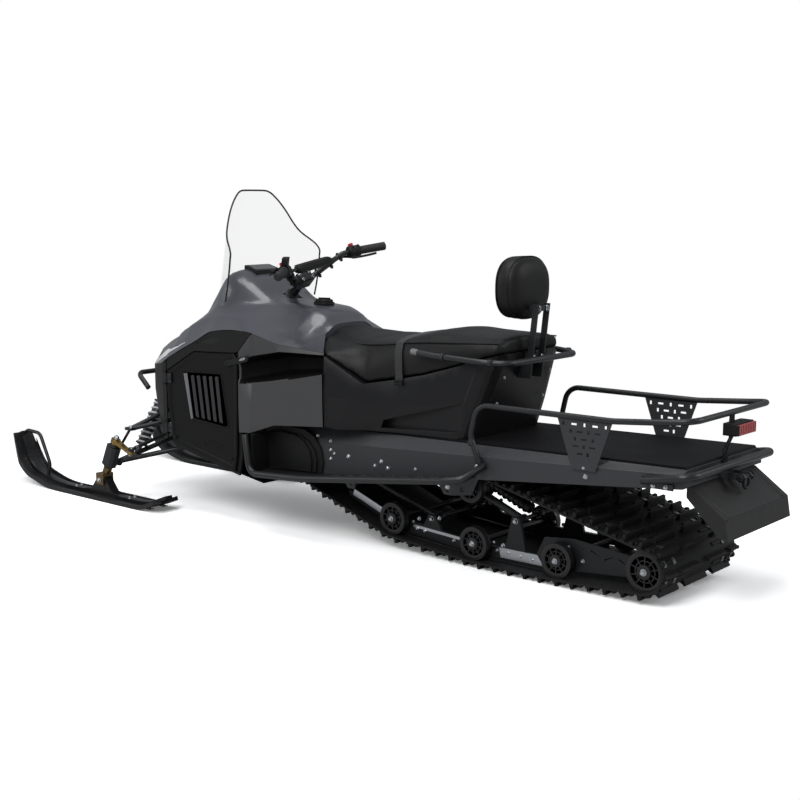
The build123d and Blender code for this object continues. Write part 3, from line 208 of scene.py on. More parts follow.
def skin(rings, ends=True, closed=True):
    """Loft through rings of as many points each, in mm: (points, faces)."""
    count = len(rings[0])
    points = [p for ring in rings for p in ring]
    faces = []
    for i in range(len(rings) - 1):
        for k in range(count if closed else count - 1):
            a, b = i * count + k, i * count + (k + 1) % count
            faces.append((a, b, b + count, a + count))
    if ends:
        faces.append(tuple(range(count))[::-1])
        faces.append(tuple((len(rings) - 1) * count + k for k in range(count)))
    return points, faces


def plate(outline, low, high, axis="y"):
    """Flat outline, in the two axes other than its thickness axis, from low to high."""
    place = {"x": lambda p, t: (t, p[0], p[1]), "y": lambda p, t: (p[0], t, p[1]), "z": lambda p,
             t: (p[0], p[1], t)}[axis]
    return skin([[place(p, t) for p in outline] for t in (low, high)])


def slab(x, y, z):
    """Block from ranges along the three axes."""
    return plate([(x[0], z[0]), (x[1], z[0]), (x[1], z[1]), (x[0], z[1])], y[0], y[1])


def turned(profile, at, axis, steps=24):
    """Body of revolution: (radius, height) profile along an axis through a point."""
    axis = Vector(axis).normalized()
    side = axis.orthogonal().normalized()
    front = axis.cross(side)
    at = Vector(at)
    rings = []
    for r, h in profile:
        rings.append([tuple(at + axis * h + (side * math.cos(t) + front * math.sin(t)) * max(r, 0.01))
                      for t in circle_angles(steps)])
    return skin(rings)


def tube(line, radius, sides=12):
    """Round bar along a line of points; radius may be one number or one for each point."""
    line = [Vector(p) for p in line]
    radii = radius if isinstance(radius, (list, tuple)) else [radius] * len(line)
    ahead = (line[1] - line[0]).normalized()
    side = ahead.orthogonal().normalized()
    rings = []
    for i, p in enumerate(line):
        way = (line[min(i + 1, len(line) - 1)] - line[max(i - 1, 0)]).normalized()
        side = (side - way * side.dot(way)).normalized()
        other = way.cross(side)
        rings.append([tuple(p + (side * math.cos(t) + other * math.sin(t)) * radii[i])
                      for t in circle_angles(sides)])
    return skin(rings)


def eased(points, per=6):
    """Smooth line through points."""
    pts = [Vector(p) for p in points]
    out = []
    for i in range(len(pts) - 1):
        a, b, c, d = pts[max(i - 1, 0)], pts[i], pts[i + 1], pts[min(i + 2, len(pts) - 1)]
        for k in range(per):
            t = k / per
            out.append(0.5 * (2 * b + (c - a) * t + (2 * a - 5 * b + 4 * c - d) * t * t
                              + (3 * b - a - 3 * c + d) * t ** 3))
    return out + [pts[-1]]


def flipped(part):
    """The same part on the other side of the machine."""
    points, faces = part
    return [(p[0], -p[1], p[2]) for p in points], [tuple(reversed(f)) for f in faces]


def pair(parts):
    """The parts on both sides of the machine."""
    return parts + [flipped(p) for p in parts]


def on_side(side, parts):
    """Parts drawn for the left side, as they are (1) or flipped to the right (-1)."""
    return parts if side == 1 else [flipped(p) for p in parts]


def piece(name, parts, material, body, edge_mm=0.0, smooth_deg=38):
    """One object from parts in mm. It rides on a body and takes a slot's finish."""
    points, faces = [], []
    for some, polygons in parts:
        start = len(points)
        points += [(p[0] / 1000, p[1] / 1000, p[2] / 1000) for p in some]
        faces += [tuple(start + i for i in f) for f in polygons]
    mesh = bpy.data.meshes.new(name)
    mesh.from_pydata(points, [], faces)
    mesh.materials.append(material)
    work = bmesh.new()
    work.from_mesh(mesh)
    bmesh.ops.recalc_face_normals(work, faces=work.faces)
    work.to_mesh(mesh)
    work.free()
    mesh.shade_smooth()
    mesh.set_sharp_from_angle(angle=math.radians(smooth_deg))
    thing = bpy.data.objects.new(name, mesh)
    scene.collection.objects.link(thing)
    if edge_mm:
        round_edges(thing, edge_mm)
    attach(thing, body)
    return thing


# station, height and radius of what the belt goes round, from the drive axle backwards
BELT_WHEELS = [(40, 284, 72), (-766, 288, 56), (-1473, 110, 68), (-1134, 86, 60), (-783, 86, 60),
               (-404, 117, 60)]


def belt_line(offset):
    """Points and outward directions round the belt, closely spaced."""
    runs = []
    for i, (x0, z0, r0) in enumerate(BELT_WHEELS):
        x1, z1, r1 = BELT_WHEELS[(i + 1) % len(BELT_WHEELS)]
        r0, r1 = r0 + offset, r1 + offset
        normal = math.atan2(z1 - z0, x1 - x0) - math.pi / 2 + (r0 - r1) / math.hypot(x1 - x0, z1 - z0)
        n = (math.cos(normal), math.sin(normal))
        runs.append(((x0 + r0 * n[0], z0 + r0 * n[1]), (x1 + r1 * n[0], z1 + r1 * n[1]), normal))
    line = []
    for i, (leave, arrive, normal) in enumerate(runs):
        steps = max(2, int(math.dist(leave, arrive) / 4))
        for k in range(steps):
            t = k / steps
            line.append((leave[0] + (arrive[0] - leave[0]) * t, leave[1] + (arrive[1] - leave[1]) * t, normal))
        cx, cz, r = BELT_WHEELS[(i + 1) % len(BELT_WHEELS)]
        after = runs[(i + 1) % len(runs)][2]
        turn = (after - normal + math.pi) % (2 * math.pi) - math.pi
        steps = max(1, int(abs(turn) * r / 4))
        for k in range(steps):
            a = normal + turn * k / steps
            line.append((cx + (r + offset) * math.cos(a), cz + (r + offset) * math.sin(a), a))
    return line


def along_belt(line, pitch, start=0.0):
    """(x, z, outward angle) at even steps round the belt."""
    lengths = [0.0]
    for a, b in zip(line, line[1:] + line[:1]):
        lengths.append(lengths[-1] + math.hypot(b[0] - a[0], b[1] - a[1]))
    total = lengths[-1]
    count = round(total / pitch)
    out, i = [], 0
    for k in range(count):
        s = (k + start) * total / count
        while i < len(line) - 1 and lengths[i + 1] < s:
            i += 1
        out.append(line[i])
    return out


def on_belt(at, y, ahead, out):
    """A point of the belt's frame: ahead along the belt and out from it."""
    x, z, a = at
    return (x + out * math.cos(a) - ahead * math.sin(a), y, z + out * math.sin(a) + ahead * math.cos(a))


def belt_bar(at, y0, y1, half, high, waist=0.6):
    """A low moulded rib across the belt, of half its length along the belt and a height."""
    section = [(-half, -1.5), (-half, high * 0.35), (-half * waist, high), (half * waist, high),
               (half, high * 0.35), (half, -1.5)]
    return skin([[on_belt(at, y, u, v) for u, v in section] for y in (y0, y1)])


track_rubber = surface("moulded_track_rubber", "#1b1b1c", 0.62, mottle=(35.0, 0.3), grain=(3.0, 0.4), shine=0.3)
clip_steel = surface("pressed_clip_steel", "#8a8b8e", 0.4, metallic=1.0, mottle=(10.0, 0.25),
                     grain=(1.0, 0.05))
dress("track", track_rubber, 1.6)
belt_outside = belt_line(6.0)
LUG_PITCH = 64.0
belt_parts, clip_parts = [], []
for row, at in enumerate(along_belt(belt_outside, LUG_PITCH, 0.5)):
    for side in (-1, 1):
        for y0, y1 in ((236, 250), (206, 222)) if row % 2 else ((244, 251), (218, 230)):
            belt_parts.append(belt_bar(at, side * y0, side * y1, 9.0, 6.5))
for at in along_belt(belt_outside, LUG_PITCH):
    for side in (-1, 1):
        belt_parts.append(belt_bar(at, side * 190, side * 214, 7.0, 5.0))
        belt_parts.append(belt_bar(at, side * 96, side * 150, 6.0, 4.0))
        belt_parts.append(belt_bar(at, side * 232, side * 248, 8.0, 9.0))
        for y in (166.0, 226.0):
            clip = [(-11, -0.5), (-11, 2.6), (-7, 4.2), (7, 4.2), (11, 2.6), (11, -0.5)]
            clip_parts.append(skin([[on_belt(at, side * (y + w), u, v) for u, v in clip] for w in (-8, 8)]))
piece("track_ribs", belt_parts, track_rubber, "chassis")
piece("track_clips", clip_parts, clip_steel, "chassis")


# ---- Wheels ----
# Bogie wheels of glass-filled nylon with a moulded rubber tyre, a ribbed face and a pressed bearing
# cap, held on their axle by a flanged bolt. All are black, the bolts are zinc plated.
wheel_nylon = surface("glass_filled_nylon", "#1a1a1c", 0.42, mottle=(40.0, 0.15), grain=(1.8, 0.1))
zinc = surface("bright_zinc_plate", "#c3c6ca", 0.3, metallic=1.0, mottle=(6.0, 0.12), grain=(0.8, 0.02))
for node in ("bogie_wheels", "rear_idler", "top_roller"):
    dress(node, wheel_nylon, 1.5)


def hex_bolt(at, way, across=13.0, washer=1.6):
    """Flanged hex bolt head standing on a face."""
    r = across / 2
    flange = turned([(0, -0.5), (r * 1.35, -0.5), (r * 1.35, washer * 0.5), (r * 1.05, washer), (0, washer)],
                    at, way, 18)
    head = turned([(0, washer * 0.8), (r * 1.08, washer * 0.8), (r * 1.08, washer + r * 0.72),
                   (r * 0.86, washer + r * 0.95),
                   (0, washer + r * 0.95)], at, way, 6)
    return [flange, head]


WHEEL_Y = 222.0
wheel_faces, wheel_bolts, wheel_caps = [], [], []
# the driving wheel has no face that shows, so the belt's first wheel is left out
for (x, z, r), bolt in zip(reversed(BELT_WHEELS[1:]), (15, 15, 15, 17, 14)):
    at, out = (x, WHEEL_Y, z), (0, 1, 0)
    wheel_faces.append(turned([(r - 16.2, 5), (r - 16.2, 12.4), (r - 13, 13.8), (r - 6, 14), (r - 2.5, 12.5),
                               (r - 1.5, 5)], at, out, 48))
    wheel_faces.append(turned([(r * 0.36, 3), (r * 0.36, 16.5), (r * 0.30, 18.2), (r * 0.2, 18.2),
                               (r * 0.17, 15.5), (0, 15.5)], at, out, 32))
    wheel_faces.append(turned([(r * 0.5, 3.5), (r * 0.5, 7.5), (r * 0.56, 7.5), (r * 0.56, 3.5)], at, out, 40))
    for k in range(10):
        t = 2 * math.pi * (k + 0.5) / 10
        a, b = r * 0.34, r - 15
        c, s = math.cos(t), math.sin(t)
        rib = [(x + a * c - 2.2 * s, z + a * s + 2.2 * c), (x + b * c - 1.8 * s, z + b * s + 1.8 * c),
               (x + b * c + 1.8 * s, z + b * s - 1.8 * c), (x + a * c + 2.2 * s, z + a * s - 2.2 * c)]
        wheel_faces.append(plate(rib, WHEEL_Y + 3, WHEEL_Y + 11))
    wheel_caps.append(turned([(r * 0.19, 15), (r * 0.19, 17.6), (r * 0.16, 18.6), (0, 18.6)], at, out, 28))
    wheel_bolts += hex_bolt((x, WHEEL_Y + 18.2, z), out, bolt)
piece("wheel_faces", pair(wheel_faces), wheel_nylon, "chassis")
cap_steel = surface("pressed_bearing_cap", "#5c5d60", 0.36, metallic=1.0, mottle=(12.0, 0.15),
                    grain=(1.0, 0.04))
piece("wheel_bearing_caps", pair(wheel_caps), cap_steel, "chassis")
piece("wheel_bolts", pair(wheel_bolts), zinc, "chassis")


# ---- Skid ----
# Two extruded aluminium rails, bent at the front, black over most of their length and bare where
# nothing is bolted on, with folded black plates behind. Tubular arms and dampers hold them.
rail_alloy = surface("extruded_aluminium", "#c9ccd0", 0.3, metallic=1.0, mottle=(60.0, 0.06),
                     grain=(1.2, 0.03))
rail_black = surface("black_anodised_aluminium", "#1f2022", 0.38, metallic=0.35, mottle=(50.0, 0.12),
                     grain=(1.2, 0.04))
black_coat = surface("black_powder_coat", "#1d1e20", 0.4, mottle=(120.0, 0.1), grain=(2.2, 0.05))
slide_nylon = surface("sliding_nylon", "#141415", 0.5, mottle=(60.0, 0.1), grain=(1.5, 0.1))
for node, material in (("skid_rails", rail_black), ("rear_rails", rail_black), ("swing_arms", black_coat),
                       ("skid_shocks", black_coat)):
    dress(node, material, 0.9)

RAIL_OUT = 191.0
bright, bolts = [], []
# bare stretches of each rail, as side-view outlines
for outline in ([(-352, 100), (-210, 152), (-168, 166), (-176, 190), (-222, 174), (-366, 122)],
                [(-470, 99), (-716, 84), (-716, 73), (-470, 88)],
                [(-866, 79), (-1072, 79), (-1072, 43), (-874, 43)]):
    bright.append(plate(outline, RAIL_OUT - 0.5, RAIL_OUT + 1.6))
piece("rail_bare_faces", pair(bright), rail_alloy, "chassis", 0.6)
strips = [plate([(-1085, 33), (-783, 33), (-390, 62), (-390, 56), (-783, 27.5), (-1085, 27.5)], 174, 196)]
piece("slide_strips", pair(strips), slide_nylon, "chassis", 1.0)
for x, z, size in ((-500, 124, 11), (-596, 140, 11), (-470, 108, 9), (-492, 86, 10), (-528, 82, 10),
                   (-664, 68, 10), (-842, 92, 10), (-858, 66, 9), (-884, 88, 12), (-905, 66, 7),
                   (-960, 62, 7), (-1010, 58, 7), (-560, 132, 14), (-936, 183, 15)):
    bolts += hex_bolt((x, RAIL_OUT + (1.2 if x < -860 and z < 84 else 0), z), (0, 1, 0), size)
for x, z in ((-1218, 92), (-1424, 112), (-1160, 130), (-1396, 88)):
    bolts += hex_bolt((x, RAIL_OUT + 6.0, z), (0, 1, 0), 10)
piece("skid_bolts", pair(bolts), zinc, "chassis")


def coil(a, b, radius, wire, turns, sides=8, per=14):
    """Spring wound from a to b."""
    a, b = Vector(a), Vector(b)
    way = (b - a).normalized()
    side = way.orthogonal().normalized()
    other = way.cross(side)
    line = []
    for k in range(int(turns * per) + 1):
        t = 2 * math.pi * k / per
        line.append(a + (b - a) * (k / (turns * per)) + (side * math.cos(t) + other * math.sin(t)) * radius)
    return tube(line, wire, sides)


def between(a, b, start, stop):
    """Two points on the line from a to b, so many mm in from its two ends."""
    a, b = Vector(a), Vector(b)
    way = (b - a).normalized()
    return a + way * start, b - way * stop


spring_steel = surface("painted_spring_steel", "#2a2b2e", 0.35, metallic=0.4, mottle=(20.0, 0.1),
                       grain=(1.0, 0.03))
springs = []
for low, high, y in (((-560, 132), (-700, 276), -45.0), ((-936, 183), (-700, 276), 45.0)):
    a, b = between((low[0], y, low[1]), (high[0], y, high[1]), 40, 34)
    springs.append(coil(a, b, 21.5, 3.6, 7.5))
piece("skid_springs", springs, spring_steel, "chassis")


# ---- Tunnel and deck ----
# One aluminium sheet folded over the track, powder coated in rough charcoal grey, with slanted
# shoulders and a flat deck on top. Zinc-plated bolts hold what it carries.
charcoal_coat = surface("charcoal_powder_coat", "#303134", 0.48, mottle=(180.0, 0.08), grain=(1.6, 0.06))
deck_coat = surface("textured_deck_coat", "#101012", 0.66, mottle=(150.0, 0.12), grain=(2.5, 0.2), shine=0.12)
dress("tunnel", charcoal_coat, 1.6)
dress("cargo_deck", deck_coat, 1.6)
TUNNEL_HALF = 275.0


def deck_z(x):
    """Height of the tunnel's top under the deck."""
    return 439.0 - 0.0212 * x


def crease_z(x):
    """Height of the fold between the shoulder and the upright side."""
    return 371.0 - 0.0500 * x


tunnel_bolts = []
for x, z, size in ((-132, 384, 10), (-132, 350, 10), (-150, 338, 9), (-132, 316, 10), (-224, 336, 13),
                   (-388, 338, 12),
                   (-356, 318, 10), (-420, 316, 12), (-552, 330, 10), (-700, 287, 14), (-1271, 402, 12),
                   (-64, 398, 9)):
    tunnel_bolts += hex_bolt((x, TUNNEL_HALF, z), (0, 1, 0), size)
piece("tunnel_bolts", pair(tunnel_bolts), zinc, "chassis")


# ---- Running boards and toe boxes ----
# A bent steel tube round a punched aluminium foot plate, powder coated black. The toe box ahead of
# it is moulded, with two raised ribs round its rear.
moulded_black = surface("grained_polypropylene", "#151516", 0.5, mottle=(90.0, 0.1), grain=(1.5, 0.12), shine=0.25)
satin_black = surface("satin_polypropylene", "#151517", 0.4, mottle=(240.0, 0.08), grain=(1.2, 0.03), shine=0.3)
dress("running_boards", black_coat, 0.9)
dress("toe_boxes", moulded_black, 2.5)


def board_z(x):
    """Height of the foot plate, which falls towards the front."""
    return 342.0 - (x + 826.0) * 89.0 / 738.0


grips_up = []
for k in range(9):
    x = -740.0 + 68.0 * k
    for y in (300.0, 345.0):
        for u, v in ((-9, 12), (55, 12), (23, -8), (23, 32)):
            if x + u < -150:
                grips_up.append(turned([(4.2, -1.0), (4.2, 1.6), (3.0, 3.4), (2.0, 3.4), (1.6, 1.0), (0, 1.0)],
                                       (x + u, y + v, board_z(x + u)), (0, 0, 1), 10))
piece("board_teeth", pair(grips_up), black_coat, "chassis")
piece("board_bolts", pair(hex_bolt((-843, 292, 381), (0, 1, 0))), zinc, "chassis")


# ---- Frame, belly pan and engine ----
# Cast and folded aluminium front frame, a moulded pan under the engine, and the engine itself,
# which only shows through the side doors' slots.
cast_grey = surface("cast_aluminium", "#3a3b3d", 0.6, metallic=0.6, mottle=(30.0, 0.2), grain=(2.5, 0.3))
dress("front_frame", charcoal_coat, 1.2)
dress("belly_pan", moulded_black, 3.0)
dress("engine", cast_grey, 6.0)
fins = []
for k in range(9):
    z = 300.0 + 28.0 * k
    fins.append(slab((352, 596), (168, 186), (z, z + 8)))
fins.append(turned([(0, 0), (86, 0), (92, 8), (92, 20), (70, 30), (0, 30)], (430, 170, 360), (0, 1, 0), 40))
fins.append(turned([(0, 0), (64, 0), (70, 8), (70, 18), (50, 26), (0, 26)], (596, 170, 330), (0, 1, 0), 40))
piece("engine_fins", pair(fins), cast_grey, "chassis", 1.0)


# ---- Hood ----
# One vacuum-formed shell with the instrument pod rising out of it, painted in dark blue-grey enamel
# under clear lacquer, so it is the glossiest big surface. A white strip runs down its nose.
hood_enamel = surface("lacquered_blue_grey_enamel", "#46484f", 0.3, metallic=0.1, mottle=(400.0, 0.04),
                      grain=(0.9, 0.006),
                      rough_spread=0.03, coat=0.4)
# station: edge half width and height, shoulder, foot of pod, top of pod
HOOD_ROWS = [
    (-158.0, (341, 731, 340, 731.3, 339, 731.6, 338, 732)),
    (14.0, (325, 738, 250, 752, 146, 777, 76, 809)),
    (50.0, (325, 741, 252, 757, 150, 806, 80, 843)),
    (110.0, (327, 747, 258, 770, 146, 834, 84, 866)),
    (215.0, (336, 774, 272, 798, 140, 852, 80, 878)),
    (330.0, (345, 786, 280, 822, 160, 866, 95, 895)),
    (470.0, (345, 770, 280, 828, 205, 880, 125, 972)),
    (560.0, (345, 728, 275, 813, 205, 880, 130, 994)),
    (625.0, (345, 698, 268, 798, 190, 848, 125, 922)),
    (690.0, (343, 668, 262, 770, 185, 800, 120, 826)),
    (790.0, (332, 618, 235, 722, 165, 748, 90, 765)),
    (985.0, (215, 585, 165, 650, 110, 664, 60, 670)),
    (1088.0, (85, 528, 85, 560, 60, 578, 30, 583)),
]


def curve_through(a, b, c, d, k):
    """Each number at share k between b and c, on the smooth curve through a, b, c and d."""
    return tuple(0.5 * (2 * q + (r - p) * k + (2 * p - 5 * q + 4 * r - s) * k ** 2
                        + (3 * q - p - 3 * r + s) * k ** 3)
                 for p, q, r, s in zip(a, b, c, d))


def hood_row(x):
    """The hood's numbers at a station, smoothly between its rows."""
    for i, ((x0, a), (x1, b)) in enumerate(zip(HOOD_ROWS, HOOD_ROWS[1:])):
        if x0 <= x <= x1:
            if i == 0:
                return tuple(p + (q - p) * (x - x0) / (x1 - x0) for p, q in zip(a, b))
            before, after = HOOD_ROWS[max(i - 1, 1)][1], HOOD_ROWS[min(i + 2, len(HOOD_ROWS) - 1)][1]
            return curve_through(before, a, b, after, (x - x0) / (x1 - x0))
    return HOOD_ROWS[-1][1]


HOOD_SPANS = (0.2, 0.4, 0.6, 0.8, 1.0)


def hood_section(x, inset=0.0):
    """(y, z) points from the left lower edge over the top to the right lower edge."""
    y0, z0, y1, z1, y2, z2, y3, z3 = hood_row(x)
    knots = [(y0 - inset, z0), (y1 - inset, z1 - inset * 0.6), (y2 - inset * 0.5, z2 - inset),
             (y3 - inset * 0.5, z3 - inset), (-y3 + inset * 0.5, z3 - inset), (-y2 + inset * 0.5, z2 - inset)]
    half = [knots[0]] + [(knots[0][0] + (knots[1][0] - knots[0][0]) * k,
                          knots[0][1] + (knots[1][1] - knots[0][1]) * k)
                         for k in (0.05, 0.5, 0.93)]
    half.append(knots[1])
    for i in (1, 2):
        before = knots[i - 1] if i > 1 else knots[1]
        for k in HOOD_SPANS:
            half.append(curve_through(before, knots[i], knots[i + 1], knots[i + 2], k))
    for k in (0.16, 0.33, 0.5):
        half.append(curve_through(knots[2], knots[3], knots[4], knots[5], k))
    return half + [(-y, z) for y, z in reversed(half[:-1])]


def hood_top(x, y):
    """Height of the hood's skin at a point."""
    section = hood_section(x)
    for (ya, za), (yb, zb) in zip(section, section[1:]):
        if yb <= y <= ya and ya > yb:
            return za + (zb - za) * (ya - y) / (ya - yb)
    return section[0][1]


# stations: the rear lobes either side of the seat, then the rest
HOOD_STEPS = [-158 + 172 * k / 14 for k in range(14)] + [14 + 1074 * k / 90 for k in range(91)]
LOBE_STEPS, LOBE_EDGE = 14, 9


def hood_shell():
    """Outer and inner skin with the seat's notch and the steering post's hole left open."""
    post = Vector((277.0, 0.0, 970.0))
    down = Vector((math.sin(math.radians(45)), 0, -math.cos(math.radians(45))))
    outer = [[Vector((x, y, z)) for y, z in hood_section(x)] for x in HOOD_STEPS]
    inner = [[Vector((x, y, z)) for y, z in hood_section(x, 4.0)] for x in HOOD_STEPS]
    count = len(outer[0])
    points = [tuple(p) for ring in outer for p in ring] + [tuple(p) for ring in inner for p in ring]
    far = len(HOOD_STEPS) * count

    def kept(i, k):
        mid = (outer[i][k] + outer[i + 1][k] + outer[i][k + 1] + outer[i + 1][k + 1]) / 4
        if i < LOBE_STEPS and LOBE_EDGE <= k < count - 1 - LOBE_EDGE:
            return False
        off = mid - post
        return (off - down * off.dot(down)).length > 31 or off.dot(down) > 230
    faces, edges = [], {}
    for i in range(len(HOOD_STEPS) - 1):
        for k in range(count - 1):
            if kept(i, k):
                loop = (i * count + k, (i + 1) * count + k, (i + 1) * count + k + 1, i * count + k + 1)
                faces.append(loop)
                faces.append(tuple(far + n for n in reversed(loop)))
                for a, b in zip(loop, loop[1:] + loop[:1]):
                    edges[(a, b)] = True
    for a, b in list(edges):
        if (b, a) not in edges:
            faces.append((b, a, far + a, far + b))
    return points, faces


hood = piece("hood_shell", [hood_shell()], hood_enamel, "chassis", smooth_deg=34)
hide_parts("hood")
lobe_wall = []
for k in range(15):
    x = -150 + 163 * k / 14
    y, z = hood_row(x)[4:6]
    lobe_wall.append([(x, y + 0.5, 716), (x, y + 0.5, z - 1.2), (x, y + 4.5, z - 1.6), (x, y + 4.5, 716)])
cross = [y for y in range(-160, 161, 16)]
bulkhead = skin([[(16, y, 742), (16, y, hood_top(16, y) - 1.2), (20.5, y, hood_top(20, y) - 1.2),
                  (20.5, y, 742)] for y in cross])
piece("hood_inner_walls", pair([skin(lobe_wall)]) + [bulkhead], hood_enamel, "chassis", 0.8)

# The steering boot: a ribbed rubber bellows round the post
post_top, post_way = Vector((277.0, 0.0, 970.0)), Vector((math.sin(math.radians(45)), 0,
                                                          -math.cos(math.radians(45))))
rubber = surface("soft_black_rubber", "#151516", 0.55, mottle=(50.0, 0.1), grain=(1.5, 0.08))
folds = []
for k in range(15):
    folds.append(((21.0 if k % 2 else 27.0) + k * 0.55, 84.0 + k * 3.6))
boot = turned([(18.2, 84.0)] + folds + [(38.0, 136.0), (18.2, 136.0)], post_top, post_way, 36)
piece("steering_boot", [boot], rubber, "chassis")

# White nose strip: a folded ribbon that lies on the shell's front left and right
white_strip_surface = surface("white_strip_surface", "#e9e9ea", 0.3, mottle=(200.0, 0.03), grain=(0.9, 0.01),
                       rough_spread=0.03, coat=0.4)
# station, lower and upper edge as shares of the hood's slanted side
STRIP = [(640, 0.20, 0.215), (700, 0.23, 0.28), (760, 0.27, 0.40), (813, 0.25, 0.56), (860, 0.12, 0.52),
         (899, 0.04, 0.42),
         (950, 0.04, 0.36), (1000, 0.05, 0.28), (1040, 0.06, 0.14)]
rows = []
for x, low, high in eased([Vector(s) for s in STRIP], 6):
    y0, z0, y1, z1 = hood_row(x)[:4]
    ring = []
    for share, lift in ((low, 1.2), (high, 1.2), (high, -1.5), (low, -1.5)):
        ring.append((x, y0 + (y1 - y0) * share + lift * 0.72, z0 + (z1 - z0) * share + lift * 0.68))
    rows.append(ring)
piece("nose_strips", pair([skin(rows)]), white_strip_surface, "chassis")

clear_lens = surface("clear_acrylic", "#d4d9dd", 0.1, mottle=(20.0, 0.1), grain=(4.0, 0.2), coat=1.0)
dress("headlights", clear_lens, 1.0)


# ---- Fuel cap and instruments ----
# A ribbed black cap on a flange beside the post, and a flat display in a moulded hood.
dress("fuel_cap", moulded_black, 1.5)
dress("instrument_panel", moulded_black, 2.0)
cap_at, cap_up = Vector((160, 0, 874.86)), Vector((-0.05714, 0, 1)).normalized()
ribs = []
side = cap_up.orthogonal().normalized()
other = cap_up.cross(side)
for k in range(20):
    t = 2 * math.pi * k / 20
    out = side * math.cos(t) + other * math.sin(t)
    ribs.append(tube([cap_at + out * 33 + cap_up * 9.5, cap_at + out * 33 + cap_up * 18.5], 2.6, 8))
ribs.append(turned([(0, 19.0), (27, 19.0), (25, 22.5), (0, 23.5)], cap_at, cap_up, 32))
ribs.append(skin([[tuple(cap_at + side * u + other * v + cap_up * h) for u,
                   v in ((-24, -5), (24, -5), (24, 5), (-24, 5))]
                  for h in (22.0, 27.0)]))
piece("fuel_cap_grip", ribs, moulded_black, "chassis", 0.8)
screen_glass = surface("smoked_display_glass", "#0d0f12", 0.08, mottle=(90.0, 0.1), grain=(8.0, 0.01), coat=1.0)
face = [(484, 1003.6), (546, 1023.0), (546, 1024.6), (484, 1005.2)]
piece("display", [plate(face, -60, 60)], screen_glass, "chassis", 0.4)


# ---- Nose, side panels and doors ----
# Injection-moulded polypropylene panels, matt with a fine spark-eroded grain drawn at 1.5 mm so
# that it shows. The doors have a raised frame, slanted louvres and a rubber-strap latch.
dress("nose_fascia", moulded_black, 2.5)
dress("side_panels", moulded_black, 2.5)
SIDE_Y = 345.0
DOOR = [(312, 662), (317, 508), (323, 286), (338, 214), (718, 288), (744, 464), (743, 588), (716, 603),
        (574, 680), (334, 691)]


def shrunk(outline, by):
    """Outline drawn in by so many mm."""
    out = []
    for i, p in enumerate(outline):
        a, b = Vector(outline[i - 1]), Vector(outline[(i + 1) % len(outline)])
        p = Vector(p)
        u, v = (p - a).normalized(), (b - p).normalized()
        n = Vector((-u.y, u.x)) + Vector((-v.y, v.x))
        n.normalize()
        lean = max(0.35, abs(n.dot(Vector((-u.y, u.x)))))
        out.append(p + n * (by / lean))
    return [tuple(q) for q in out]


def turn_sign(outline):
    """1 for an outline that turns to the left, -1 for one that turns to the right."""
    return 1 if sum(a[0] * b[1] - b[0] * a[1] for a, b in zip(outline, outline[1:] + outline[:1])) > 0 else -1


LOUVRE_FIELD = [(652, 600), (408, 610), (366, 392), (392, 380), (608, 398)]


def door_parts():
    """Dished panel with its frame, and the raised louvre field's rim, left side."""
    sign = turn_sign(DOOR)
    rings = []
    for inn, y in ((0.5, SIDE_Y - 11.5), (0.0, SIDE_Y - 10), (0.0, SIDE_Y - 3.5), (2.5, SIDE_Y - 0.4),
                   (15, SIDE_Y - 0.2),
                   (19, SIDE_Y - 2.0), (23, SIDE_Y - 4.6)):
        rings.append([(x, y, z) for x, z in shrunk(DOOR, sign * inn)])
    shell = skin(rings)
    field_rings = [[(x, y, z) for x, z in shrunk(LOUVRE_FIELD, turn_sign(LOUVRE_FIELD) * inn)] for inn, y in
                   ((0, SIDE_Y - 6.4), (3, SIDE_Y - 2.2), (7, SIDE_Y - 2.2), (9, SIDE_Y - 4.2),
                    (12, SIDE_Y - 6.4))]
    return [shell, skin(field_rings)]


# five slanted slats, and a wide light bar in front of them
louvres = []
for k in range(5):
    x_top, x_low = 592.0 - 37.0 * k, 566.0 - 36.0 * k
    z_top, z_low = 584.0 + 1.5 * k, 410.0 - 2.0 * k
    a = [(x_top, z_top), (x_top - 15, z_top), (x_low - 15, z_low), (x_low, z_low)]
    ridge = [(x_top - 2, z_top - 5), (x_top - 6, z_top - 5), (x_low - 6, z_low + 6), (x_low - 2, z_low + 6)]
    louvres.append(skin([[(x, SIDE_Y - 6.2, z) for x, z in a], [(x, SIDE_Y - 4.0, z) for x, z in a],
                         [(x, SIDE_Y + 1.6, z) for x, z in ridge]]))
bar = [(640, 586), (618, 590), (588, 404), (600, 398)]
light_bars = [skin([[(x, SIDE_Y - 6.2, z) for x, z in bar], [(x, SIDE_Y - 2.4, z) for x, z in bar],
                    [(x, SIDE_Y + 0.8, z) for x, z in shrunk(bar, turn_sign(bar) * 4)]])]
# A near-black plate in the louvre field's pocket: painted shade behind the slats.
pocket = plate(shrunk(LOUVRE_FIELD, turn_sign(LOUVRE_FIELD) * 8), SIDE_Y - 6.6, SIDE_Y - 4.6)
# strap latch over the door's rear edge, with a bright oval button
latch_parts = [skin([[(x, y, z) for x, z in ((380, 648), (370, 661), (250, 688), (241, 678), (246, 667), (366, 638))]
                     for y in (SIDE_Y - 1.0, SIDE_Y + 6.0)])]
latch_parts.append(turned([(0, 3), (7.5, 3), (7.5, 7.5), (5.5, 9), (0, 9)], (369, SIDE_Y - 0.5, 650),
                          (0, 1, 0), 20))
button = []
for lift, grow in ((5.6, 1.0), (8.2, 1.0), (9.6, 0.8)):
    button.append([(272 + (17 * math.cos(t) - 3 * math.sin(t)) * grow, SIDE_Y + lift,
                    674 + (6.5 * math.sin(t) - 4 * math.cos(t)) * grow) for t in circle_angles(28)])
latch_buttons = [skin(button)]
door_bolts = []
for x, z in ((356, 262), (700, 312)):
    door_bolts += hex_bolt((x, SIDE_Y - 0.3, z), (0, 1, 0), 9)
